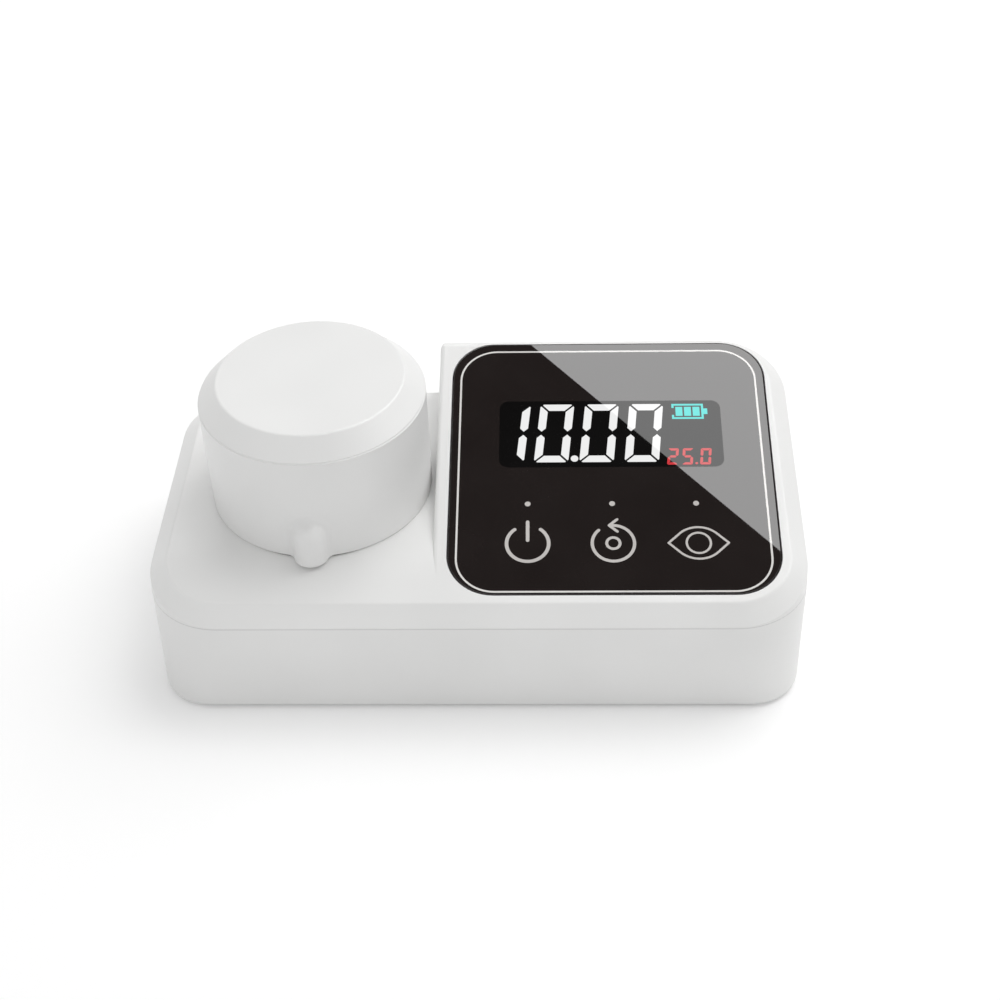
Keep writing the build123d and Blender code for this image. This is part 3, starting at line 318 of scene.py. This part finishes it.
def level_bar(x, v, length, width, gap, up):
    """Level bar at a figure's head or foot, mitred at both ends with its outer corners cut."""
    obj = rectangle((x, x + length), (v, v + width))
    edge = v + (width if up > 0 else 0)
    for side, end in ((-1, x), (1, x + length)):
        trim(obj, (end - side * gap, edge), (side, -up))
        trim(obj, (end - side * CORNER_CUT * width, edge), (side, up))
    return obj


def middle_bar(x, v, length, width, gap):
    """Level bar half way up a figure, pointed at both ends."""
    ends = (x + width / 2 + gap, x + length - width / 2 - gap)
    obj = rectangle(ends, (v - width / 2, v + width / 2))
    for side, end in zip((-1, 1), ends):
        trim(obj, (end, v), (side, 1))
        trim(obj, (end, v), (side, -1))
    return obj


def figure(digit, x, v, width, height, bar, gap):
    """Bars of one figure, standing upright from x and v."""
    half = height / 2
    parts = []
    for name in LIT_BARS[digit]:
        if name == "g":
            parts.append(middle_bar(x, v + half, width, bar, gap))
        elif name in "ad":
            up = 1 if name == "a" else -1
            parts.append(level_bar(x, v + height - bar if up > 0 else v, width, bar, gap, up))
        else:
            side = -1 if name in "ef" else 1
            up = 1 if name in "bf" else -1
            start = x if side < 0 else x + width - bar
            parts.append(upright_bar(start, v + half if up > 0 else v, half, bar, gap, up, side))
    return parts


def disc(x, v, radius, sides=32):
    """Flat disc."""
    bpy.ops.mesh.primitive_circle_add(vertices=sides, radius=radius, fill_type="NGON", location=(x, v, 0))
    return set_down(bpy.context.object)


def lean(obj, base):
    """Leans a flat shape to the right with height."""
    for vertex in obj.data.vertices:
        vertex.co.x += DIGIT_LEAN * (vertex.co.y - base)
    return obj


lit_white = lit("white_backlit_segments", "#EFEFEF")
bars = []
for digit, x in zip("1000", DIGIT_X):
    bars += figure(digit, x, DIGIT_V, DIGIT_WIDTH, DIGIT_HEIGHT, DIGIT_BAR, DIGIT_GAP)
reading = lean(join("reading_figures", bars), DIGIT_V)
lay_on_slope(reading, lit_white, LIT_LIFT)
point = join("reading_point", [disc(*POINT_AT, POINT_RADIUS)])
lay_on_slope(point, lit_white, LIT_LIFT)

# Battery sign: lit cyan segments of the same display, an open frame with a nub at its
# right end and three bars in it.
SIGN_X = (48.85 * MM, 56.9 * MM)
SIGN_V = (54.1 * MM, 58.9 * MM)
SIGN_FRAME = 0.55 * MM
SIGN_STUB = 0.75 * MM
SIGN_GAP = 0.42 * MM
SIGN_NUB = (56.9 * MM, 57.9 * MM)
SIGN_NUB_HALF = 0.9 * MM
SIGN_CELLS = 3
lit_cyan = lit("cyan_backlit_segments", "#45D8D2")
left, right = SIGN_X
foot, head = SIGN_V
middle = (foot + head) / 2
sign = [
    rectangle(SIGN_X, (foot, foot + SIGN_FRAME)),
    rectangle(SIGN_X, (head - SIGN_FRAME, head)),
    rectangle((right - SIGN_FRAME, right), (foot + SIGN_FRAME, head - SIGN_FRAME)),
    rectangle((left, left + SIGN_FRAME), (foot + SIGN_FRAME, foot + SIGN_FRAME + SIGN_STUB)),
    rectangle((left, left + SIGN_FRAME), (head - SIGN_FRAME - SIGN_STUB, head - SIGN_FRAME)),
    rectangle(SIGN_NUB, (middle - SIGN_NUB_HALF, middle + SIGN_NUB_HALF)),
]
cell_v = (foot + SIGN_FRAME + SIGN_GAP, head - SIGN_FRAME - SIGN_GAP)
first_cell = left + SIGN_FRAME + SIGN_GAP
cell_pitch = (right - SIGN_FRAME - first_cell) / SIGN_CELLS
for number in range(SIGN_CELLS):
    start = first_cell + number * cell_pitch
    sign.append(rectangle((start, start + cell_pitch - SIGN_GAP), cell_v))
lay_on_slope(join("battery_sign", sign), lit_cyan, LIT_LIFT)

# Small second number: lit red segments of the same display, at the lower right of the
# reading, with the same lean.
SMALL_X = (46.9 * MM, 50.6 * MM, 55.1 * MM)
SMALL_POINT = (54.25 * MM, 40.3 * MM)
SMALL_V = 39.9 * MM
SMALL_WIDTH = 2.7 * MM
SMALL_HEIGHT = 5.0 * MM
SMALL_BAR = 0.7 * MM
SMALL_GAP = 0.08 * MM
lit_red = lit("red_backlit_segments", "#D23A40")
bars = []
for digit, x in zip("250", SMALL_X):
    bars += figure(digit, x, SMALL_V, SMALL_WIDTH, SMALL_HEIGHT, SMALL_BAR, SMALL_GAP)
bars.append(disc(*SMALL_POINT, SMALL_BAR / 2, sides=16))
small = lean(join("small_red_number", bars), SMALL_V)
lay_on_slope(small, lit_red, LIT_LIFT)

# Lamp windows: small grey dots screen-printed on the back of the glass, one above each
# of the three touch electrodes, which the lamps under them shine through.
KEY_X = (12.2 * MM, 32.9 * MM, 53.45 * MM)
DOT_V = 28.3 * MM
DOT_RADIUS = 0.72 * MM
grey_ink = polished("grey_screen_print", "#D0CCC9", "#C6C2BF")
dots = [disc(x, DOT_V, DOT_RADIUS, sides=24) for x in KEY_X]
lay_on_slope(join("key_lamp_windows", dots), grey_ink)

# Key symbols: fine grey lines with rounded ends, screen-printed on the back of the glass
# over the touch electrodes: a power ring, a turned arrow round a dot, and an eye.
KEY_V = 16.8 * MM
STROKE = 0.88 * MM
RING_RADIUS = 5.1 * MM
ARC_STEP = radians(5)
FEWEST_STEPS = 6
SAME_POINT = 0.001 * MM


def half_disc(x, v, radius, direction):
    """Rounded end of a stroke, facing the way that the angle points."""
    end = disc(x, v, radius, sides=24)
    return trim(end, (x, v), (-cos(direction), -sin(direction)))


def arc(x, v, radius, width, start=0.0, sweep=2 * pi, ends=False):
    """Flat stroke along an arc, from a start angle through a sweep, or a whole ring."""
    first = (x + radius * cos(start), v + radius * sin(start), 0)
    bpy.ops.mesh.primitive_plane_add(size=width, location=first, rotation=(0, 0, start))
    obj = bpy.context.object
    # Flattened to one edge across the stroke, which the spin then sweeps
    obj.scale = (1, 0, 1)
    set_down(obj)
    edit(obj)
    bpy.ops.mesh.select_all(action="SELECT")
    bpy.ops.mesh.remove_doubles(threshold=SAME_POINT)
    bpy.ops.mesh.select_all(action="SELECT")
    steps = max(FEWEST_STEPS, int(abs(sweep) / ARC_STEP))
    bpy.ops.mesh.spin(steps=steps, angle=-sweep, center=(x, v, 0), axis=(0, 0, 1))
    bpy.ops.mesh.select_all(action="SELECT")
    bpy.ops.mesh.remove_doubles(threshold=SAME_POINT)
    bpy.ops.mesh.normals_make_consistent(inside=False)
    parts = [keep(obj)]
    if ends:
        for angle, turn in ((start, -pi / 2), (start + sweep, pi / 2)):
            spot = (x + radius * cos(angle), v + radius * sin(angle))
            parts.append(half_disc(*spot, width / 2, angle + turn))
    return parts


def stroke(start, end, width, ends=True):
    """Flat straight stroke between two points."""
    run = Vector((end[0] - start[0], end[1] - start[1]))
    angle = Vector((1, 0)).angle_signed(run) * -1
    centre = ((start[0] + end[0]) / 2, (start[1] + end[1]) / 2, 0)
    bpy.ops.mesh.primitive_plane_add(size=1, location=centre, rotation=(0, 0, angle))
    obj = bpy.context.object
    obj.scale = (run.length, width, 1)
    parts = [set_down(obj)]
    if ends:
        parts += [half_disc(*start, width / 2, angle + pi), half_disc(*end, width / 2, angle)]
    return parts


POWER_START = radians(128)
POWER_SWEEP = radians(284)
POWER_STEM = (0.9 * MM, 6.2 * MM)
power = arc(KEY_X[0], KEY_V, RING_RADIUS, STROKE, POWER_START, POWER_SWEEP, ends=True)
power += stroke((KEY_X[0], KEY_V + POWER_STEM[0]), (KEY_X[0], KEY_V + POWER_STEM[1]), STROKE)
lay_on_slope(join("power_symbol", power), grey_ink)

ZERO_START = radians(133)
ZERO_SWEEP = radians(317)
ZERO_STROKE = 0.9 * STROKE
ZERO_FINE_STROKE = 0.8 * STROKE
ZERO_RING = 1.6 * MM
ARROW_TIP = -0.9 * MM
ARROW_RUN = 1.95 * MM
ARROW_RISE = 1.75 * MM
zero = arc(KEY_X[1], KEY_V, RING_RADIUS, ZERO_STROKE, ZERO_START, ZERO_SWEEP, ends=True)
zero += arc(KEY_X[1], KEY_V, ZERO_RING, ZERO_FINE_STROKE)
tip = (KEY_X[1] + ARROW_TIP, KEY_V + RING_RADIUS)
for rise in (-ARROW_RISE, ARROW_RISE):
    zero += stroke(tip, (tip[0] + ARROW_RUN, tip[1] + rise), ZERO_FINE_STROKE)
lay_on_slope(join("zero_symbol", zero), grey_ink)

EYE_STROKE = 0.56 * MM
EYE_HALF = 7.25 * MM
EYE_RISE = 4.5 * MM
EYE_ARC = 6.5 * MM
EYE_ANGLE = radians(47.2)
PUPIL_RADIUS = 2.9 * MM
read = []
for side in (1, -1):
    centre_v = KEY_V + side * (EYE_RISE - EYE_ARC)
    read += arc(KEY_X[2], centre_v, EYE_ARC, EYE_STROKE, side * pi / 2 - EYE_ANGLE, 2 * EYE_ANGLE)
    for end in (1, -1):
        lid = (KEY_X[2] + end * EYE_ARC * sin(EYE_ANGLE), centre_v + side * EYE_ARC * cos(EYE_ANGLE))
        read += stroke(lid, (KEY_X[2] + end * EYE_HALF, KEY_V), EYE_STROKE, ends=False)
for end in (1, -1):
    read.append(disc(KEY_X[2] + end * EYE_HALF, KEY_V, EYE_STROKE / 2, sides=16))
read += arc(KEY_X[2], KEY_V, PUPIL_RADIUS, EYE_STROKE)
lay_on_slope(join("read_symbol", read), grey_ink)

# Parting line: the closed joint all round between the two housing halves, drawn as a thin
# ring of grey ABS whose grey is painted shade, standing in for the shade in the joint as a fine grey
# line.
JOINT_Z = 28.4 * MM
JOINT_X = (-80.015 * MM, 80.015 * MM)
JOINT_Y = (-43.015 * MM, 43.015 * MM)
JOINT_RADIUS = 18.415 * MM
JOINT_DEPTH = 0.2 * MM
JOINT_HEIGHT = 0.28 * MM
# Painted shade: a darker grey than the white ABS, for the shade in the joint
painted_shade_abs = moulded(
    "painted_joint_shade_abs", "#DADAD9", "#D6D6D5", roughness=0.6, grain=SPARK_GRAIN,
    depth=0.002 * MM, wave=COOLING_WAVE,
)
# Ring of painted shade, set in the joint between the halves
joint_shade = outline_only(rectangle(JOINT_X, JOINT_Y, JOINT_RADIUS, segments=24), JOINT_DEPTH)
joint_shade = thicken(join("parting_line_painted_shade", [joint_shade]), JOINT_HEIGHT)
joint_shade.data.transform(Matrix.Translation((0, 0, JOINT_Z - JOINT_HEIGHT / 2)))
joint_shade.data.materials.append(painted_shade_abs)
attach(joint_shade, "housing")

# Film and display behind the glass: a black acrylic film that holds the glass in its
# recess, and the display in its moulded polycarbonate frame.
tape = moulded(
    "acrylic_adhesive_film", "#151515", "#101010", roughness=0.6, grain=1.5 * MM, depth=0.004 * MM,
    wave=20 * MM,
)
finish_nodes(tape, "panel_adhesive")
black_frame = moulded(
    "black_polycarbonate_frame", "#141414", "#0E0E0E", roughness=0.3, grain=0.8 * MM, depth=0.002 * MM,
    wave=15 * MM,
)
finish_nodes(black_frame, "display_module")

# Circuit boards: glass-fibre laminate under a green solder mask, with the copper tracks
# standing out a little under it.
SOLDER_TRACK = 2.2 * MM
boards = new_material("solder_masked_fibreglass")
where = add_node(boards, "TexCoord").outputs["Object"]
tracks = add_node(boards, "TexBrick", {
    "Vector": where,
    "Scale": 1 / SOLDER_TRACK,
    "Color1": linear("#0F5A2C"),
    "Color2": linear("#0C4A24"),
    "Mortar": linear("#1C7A40"),
    "Mortar Size": 0.12,
})
relief = {"Height": tracks.outputs["Fac"], "Distance": 0.03 * MM, "Strength": 0.4}
bump = add_node(boards, "Bump", relief)
inputs = {"Base Color": tracks.outputs["Color"], "Roughness": 0.32, "Normal": bump.outputs["Normal"]}
shader = add_node(boards, "BsdfPrincipled", inputs)
add_node(boards, "OutputMaterial", {"Surface": shader.outputs["BSDF"]})
finish_nodes(boards, "main_board", "lamp_board", "detector_board")

# Springs, contacts, screws and the detector's can: drawn or rolled steel, nickel or zinc
# plated, bright with fine marks along it.
PLATED_GLOSS_SPREAD = 0.06


def plated(name, colour, shade, roughness, brush):
    """Plated or bright metal with fine drawn marks, given wider than they are so that they show."""
    material = new_material(name)
    where = add_node(material, "TexCoord").outputs["Object"]
    drawn = {"Vector": where, "Scale": 1 / brush, "Detail": 4.0, "Distortion": 0.4}
    marks = add_node(material, "TexNoise", drawn).outputs["Fac"]
    bump = add_node(material, "Bump", {"Height": marks, "Distance": 0.003 * MM, "Strength": 0.4})
    tone = add_node(material, "ValToRGB", {"Fac": marks}, between(linear(shade), linear(colour)))
    smooth = grey(roughness - PLATED_GLOSS_SPREAD)
    rough = grey(roughness + PLATED_GLOSS_SPREAD)
    gloss = add_node(material, "ValToRGB", {"Fac": marks}, between(smooth, rough))
    inputs = {
        "Base Color": tone.outputs["Color"],
        "Roughness": gloss.outputs["Color"],
        "Metallic": 1.0,
        "Normal": bump.outputs["Normal"],
    }
    shader = add_node(material, "BsdfPrincipled", inputs)
    add_node(material, "OutputMaterial", {"Surface": shader.outputs["BSDF"]})
    return material


nickel = plated("nickel_plated_spring_steel", "#D9D6CF", "#C8C5BE", roughness=0.25, brush=0.9 * MM)
finish_nodes(nickel, "touch_springs", "contact_bridge", "contact_positive", "contact_negative")
zinc = plated("zinc_plated_screw_steel", "#C6C9CE", "#B4B7BC", roughness=0.34, brush=0.6 * MM)
finish_nodes(zinc, "board_screws", "housing_screws", "holder_screws", "optics_screws")
can = plated("nickel_silver_detector_can", "#CFCBC0", "#BDB9AE", roughness=0.22, brush=0.8 * MM)
finish_nodes(can, "photodiode")

# Lamps and filter: water-clear cast epoxy, and coloured glass with a thin coating, both
# smooth enough to mirror what stands round them.
epoxy = moulded(
    "clear_lamp_epoxy", "#F2F4F6", "#E8EAEE", roughness=0.08, grain=2 * MM, depth=0.001 * MM, wave=6 * MM,
    **{"Transmission Weight": 0.75},
)
finish_nodes(epoxy, "indicator_leds", "source_lamp")
filter_glass = moulded(
    "green_interference_filter", "#5CC878", "#4FB86C", roughness=0.06, grain=3 * MM, depth=0.001 * MM,
    wave=5 * MM, **{"Transmission Weight": 0.6},
)
finish_nodes(filter_glass, "optical_filter")

# Leads: tinned copper in drawn PVC, grey and flat to the detector, black to the lamp
# and red to the batteries, with the slight sheen of soft plastic.
ribbon = moulded(
    "grey_ribbon_insulation", "#A9ABAD", "#97999B", roughness=0.5, grain=1.2 * MM, depth=0.01 * MM,
    wave=1.3 * MM,
)
finish_nodes(ribbon, "sensor_ribbon")
for name, node, colour, shade in (
    ("black_pvc_sheath", "lamp_lead", "#1B1B1C", "#131314"),
    ("red_pvc_sheath", "battery_leads", "#B3201F", "#A01B1B"),
):
    sheath = moulded(name, colour, shade, roughness=0.42, grain=1 * MM, depth=0.005 * MM, wave=8 * MM)
    finish_nodes(sheath, node)

# Cell well: black glass-filled nylon, matt so that no stray light reaches the
# detector, with a closed-cell foam ring in the deck round it.
well_black = moulded(
    "matt_black_filled_nylon", "#1A1A1B", "#121213", roughness=0.62, grain=0.9 * MM, depth=0.01 * MM,
    wave=14 * MM,
)
finish_nodes(well_black, "cell_holder")
foam = moulded(
    "closed_cell_foam_ring", "#2A2A2B", "#1C1C1D", roughness=0.85, grain=0.7 * MM, depth=0.08 * MM,
    wave=3 * MM,
)
finish_nodes(foam, "deck_seal")

# Feet: moulded rubber discs that are pressed in over the housing's screws, dark and
# matt, so that the instrument doesn't slide.
rubber = moulded(
    "matt_rubber_feet", "#2B2B2C", "#222223", roughness=0.78, grain=0.8 * MM, depth=0.02 * MM, wave=5 * MM
)
finish_nodes(rubber, "rubber_feet")

# Batteries: zinc cans in a shrunk plastic jacket, dark over most of the length with a
# copper-coloured band at the plus end, and the bare steel ends showing.
BATTERY_HALF = 24 * MM
BATTERY_MIDDLE = 24.6 * MM
JACKET_CREASE = 1.5 * MM
BARE_STEEL = "#B9BBBE"
JACKET_DARK = "#1D2530"
JACKET_COPPER = "#B9743C"
BAND_STARTS = ((0.0, BARE_STEEL), (0.02, JACKET_DARK), (0.72, JACKET_COPPER), (0.985, BARE_STEEL))


def battery_jacket(name, plus):
    """Jacket whose bands follow the battery's length; plus is the way that its nub points."""
    material = new_material(name)
    where = add_node(material, "TexCoord").outputs["Object"]
    along = add_node(material, "SeparateXYZ", {"Vector": where}).outputs["X"]
    place = add_node(material, "MapRange", {
        "Value": along,
        "From Min": BATTERY_MIDDLE - plus * BATTERY_HALF,
        "From Max": BATTERY_MIDDLE + plus * BATTERY_HALF,
    })
    stops = [(position, linear(colour)) for position, colour in BAND_STARTS]
    bands = add_node(material, "ValToRGB", {"Fac": place.outputs["Result"]}, stops)
    bands.color_ramp.interpolation = "CONSTANT"
    creases = add_node(material, "TexNoise", {"Vector": where, "Scale": 1 / JACKET_CREASE, "Detail": 2.0})
    relief = {"Height": creases.outputs["Fac"], "Distance": 0.01 * MM, "Strength": 0.3}
    bump = add_node(material, "Bump", relief)
    shader = add_node(material, "BsdfPrincipled", {
        "Base Color": bands.outputs["Color"],
        "Roughness": 0.28,
        "Metallic": 0.35,
        "Normal": bump.outputs["Normal"],
    })
    add_node(material, "OutputMaterial", {"Surface": shader.outputs["BSDF"]})
    return material


finish_nodes(battery_jacket("shrunk_battery_jacket_front", 1), "battery_front")
finish_nodes(battery_jacket("shrunk_battery_jacket_back", -1), "battery_back")

# Sample cell: drawn borosilicate tube with a formed neck. The drawing leaves slow waves
# in its wall that bend what is seen through it.
DRAWING_WAVE = 12 * MM
cell_glass = new_material("borosilicate_cell_glass")
where = add_node(cell_glass, "TexCoord").outputs["Object"]
waves = add_node(cell_glass, "TexNoise", {"Vector": where, "Scale": 1 / DRAWING_WAVE, "Detail": 1.0})
relief = {"Height": waves.outputs["Fac"], "Distance": 0.05 * MM, "Strength": 0.3}
bump = add_node(cell_glass, "Bump", relief)
shader = add_node(cell_glass, "BsdfPrincipled", {
    "Base Color": linear("#F4F9F8"),
    "Roughness": 0.02,
    "IOR": 1.47,
    "Transmission Weight": 1.0,
    "Normal": bump.outputs["Normal"],
})
add_node(cell_glass, "OutputMaterial", {"Surface": shader.outputs["BSDF"]})
finish_nodes(cell_glass, "sample_cell")

# Cell cap: black phenolic, pressed in a ribbed mould, with the white PTFE disc in it
# that seals the neck.
cap_black = moulded(
    "black_phenolic_cap", "#1C1C1D", "#151516", roughness=0.35, grain=0.9 * MM, depth=0.006 * MM,
    wave=9 * MM,
)
finish_nodes(cap_black, "cell_cap")
disc_white = moulded(
    "white_ptfe_disc", "#F1F1EE", "#E6E6E3", roughness=0.45, grain=0.8 * MM, depth=0.004 * MM, wave=6 * MM
)
finish_nodes(disc_white, "cell_liner")

# Marks on the cell: white enamel fired on the glass, a line at the fill level and below
# it a small triangle that is set towards the shield's nose.
CELL_X = -39.8 * MM
CELL_Y = 1.273 * MM
CELL_RADIUS = 12.3 * MM
CELL_SIDES = 72
OUTWARDS = 0.5
FILL_LINE = 40.0 * MM
FILL_LINE_HEIGHT = 0.5 * MM
MARK_TOP = FILL_LINE - 2.0 * MM
MARK_FOOT = MARK_TOP - 4.0 * MM
MARK_FLARE = 0.55


def band_on_cell(low, high):
    """Thin band round the cell, open at both ends."""
    bpy.ops.mesh.primitive_cylinder_add(
        vertices=CELL_SIDES, radius=CELL_RADIUS, depth=high - low, end_fill_type="NOTHING",
        location=(CELL_X, CELL_Y, (low + high) / 2),
    )
    return set_down(bpy.context.object)


def print_on_cell(obj, name):
    """Gives a print on the cell its thickness and fixes it to the cell."""
    thicken(obj, PRINT_THICKNESS, OUTWARDS)
    obj.name = obj.data.name = name
    obj.data.materials.append(fired_white)
    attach(obj, "cell")


fired_white = moulded(
    "fired_white_enamel", "#EFEFEC", "#E6E6E2", roughness=0.3, grain=0.7 * MM, depth=0.004 * MM,
    wave=3 * MM,
)
print_on_cell(band_on_cell(FILL_LINE - FILL_LINE_HEIGHT, FILL_LINE), "fill_line")
mark = band_on_cell(MARK_FOOT, MARK_TOP)
edit(mark, "FACE")
for normal in ((0, 1, 0), (1, 0, -MARK_FLARE), (-1, 0, -MARK_FLARE)):
    bpy.ops.mesh.select_all(action="SELECT")
    bpy.ops.mesh.bisect(plane_co=(CELL_X, CELL_Y, MARK_FOOT), plane_no=normal, clear_outer=True)
print_on_cell(keep(mark), "alignment_mark")

# Table top: a pale matt laminate. What the camera or a mirror sees of it is lifted to
# white away from the object, and it keeps the object's shadow.
STAGE_SIZE = 8.0
FLOOR_TONE = 0.97
FLOOR_SEEN = 0.93
FLOOR_GLOW = 0.145
FAR_GLOW = 0.45
SPREAD_FROM = 0.3
SPREAD_TO = 1.4


def seen_directly(owner):
    """Output that is 1 for what the camera, a mirror or clear glass sees, and 0 for light."""
    path = add_node(owner, "LightPath").outputs
    rays = {0: path["Is Camera Ray"], 1: path["Is Transmission Ray"]}
    either = add_node(owner, "Math", rays, operation="MAXIMUM").outputs[0]
    return add_node(owner, "Math", {0: either, 1: path["Is Glossy Ray"]}, operation="MAXIMUM").outputs[0]


bpy.ops.mesh.primitive_plane_add(size=STAGE_SIZE, location=(0, 0, 0))
floor = bpy.context.object
floor.name = "table_top"
pale = new_material("pale_table_top")
seen = seen_directly(pale)
matt = add_node(pale, "BsdfDiffuse", {"Color": grey(FLOOR_TONE)})
shown = add_node(pale, "BsdfDiffuse", {"Color": grey(FLOOR_SEEN)})
where = add_node(pale, "TexCoord").outputs["Object"]
away = add_node(pale, "VectorMath", {0: where}, operation="LENGTH").outputs["Value"]
spread = add_node(pale, "MapRange", {
    "Value": away,
    "From Min": SPREAD_FROM,
    "From Max": SPREAD_TO,
    "To Min": FLOOR_GLOW,
    "To Max": FAR_GLOW,
})
glow = add_node(pale, "Emission", {"Color": grey(1.0), "Strength": spread.outputs[0]})
white = add_node(pale, "AddShader", {0: shown.outputs[0], 1: glow.outputs[0]})
mixed = add_node(pale, "MixShader", {0: seen, 1: matt.outputs[0], 2: white.outputs[0]})
add_node(pale, "OutputMaterial", {"Surface": mixed.outputs[0]})
floor.data.materials.append(pale)

# Card and flag overhead: a bright card and a dark one whose shared edge is the straight
# line that the glass mirrors. Only mirrored rays meet them.
CARD_HEIGHT = 1.0
EDGE_POINTS = ((0.004, 0.480), (0.222, 0.280))
CARD_REACH = 0.9
CARD_LENGTH = 2.2 * CARD_REACH
CARD_STRENGTH = 6.6
FLAG_STRENGTH = 0.02


def overhead_card(name, side, strength):
    """Card on one side of the mirrored edge, which only glossy surfaces see."""
    first, second = Vector(EDGE_POINTS[0]), Vector(EDGE_POINTS[1])
    along = (second - first).normalized()
    across = Vector((-along.y, along.x)) * side
    centre = (first + second) / 2 + across * CARD_REACH / 2
    angle = Vector((1, 0)).angle_signed(along) * -1
    place = (*centre, CARD_HEIGHT)
    bpy.ops.mesh.primitive_plane_add(size=1, location=place, rotation=(0, 0, angle))
    card = bpy.context.object
    card.scale = (CARD_LENGTH, CARD_REACH, 1)
    set_down(card)
    card.name = name
    material = new_material(name)
    glossy = add_node(material, "LightPath").outputs["Is Glossy Ray"]
    clear = add_node(material, "BsdfTransparent")
    light = add_node(material, "Emission", {"Strength": strength})
    mixed = add_node(material, "MixShader", {0: glossy, 1: clear.outputs[0], 2: light.outputs[0]})
    add_node(material, "OutputMaterial", {"Surface": mixed.outputs[0]})
    card.data.materials.append(material)


overhead_card("bright_card", 1, CARD_STRENGTH)
overhead_card("dark_flag", -1, FLAG_STRENGTH)

# Lamp and sky: a large soft lamp from the right and back, which brightens level faces
# over upright ones, and an even sky that fills the rest.
LAMP_PLACE = Vector((0.6, 0.46, 1.3))
LAMP_AIM = Vector((0, 0, 0.03))
LAMP_SIZE = 1.1
LAMP_POWER = 9.75
SKY_LEVEL = 0.64
lamp_data = bpy.data.lights.new("soft_lamp", "AREA")
lamp_data.size = LAMP_SIZE
lamp_data.energy = LAMP_POWER
lamp = bpy.data.objects.new("soft_lamp", lamp_data)
bpy.context.scene.collection.objects.link(lamp)
lamp.location = LAMP_PLACE
lamp.rotation_euler = (LAMP_AIM - LAMP_PLACE).to_track_quat("-Z", "Y").to_euler()

sky = bpy.data.worlds.new("even_sky")
bpy.context.scene.world = sky
sky.use_nodes = True
sky.node_tree.nodes.clear()
level = add_node(sky, "MapRange", {"Value": seen_directly(sky), "To Min": SKY_LEVEL, "To Max": 1.0})
sky_light = add_node(sky, "Background", {"Color": grey(1.0), "Strength": level.outputs[0]})
add_node(sky, "OutputWorld", {"Surface": sky_light.outputs[0]})
bpy.context.scene.view_settings.view_transform = "Standard"

# Camera: where the photograph was taken from, in front of the object and above it. Its
# place, turn and lens were worked out from the housing's edges.
CAMERA_PLACE = (0.016116, -0.305762, 0.300081)
CAMERA_PITCH = radians(41.324)
CAMERA_YAW = radians(2.081)
CAMERA_ROLL = radians(-1.638)
CAMERA_LENS = 57.543
SENSOR_WIDTH = 36.0
NEAREST = 0.01
camera_data = bpy.data.cameras.new("photograph_camera")
camera_data.lens = CAMERA_LENS
camera_data.sensor_width = SENSOR_WIDTH
camera_data.clip_start = NEAREST
camera = bpy.data.objects.new("photograph_camera", camera_data)
bpy.context.scene.collection.objects.link(camera)
turn = Matrix.Rotation(CAMERA_YAW, 4, "Z") @ Matrix.Rotation(pi / 2 - CAMERA_PITCH, 4, "X")
camera.matrix_world = Matrix.Translation(CAMERA_PLACE) @ turn @ Matrix.Rotation(CAMERA_ROLL, 4, "Z")
bpy.context.scene.camera = camera
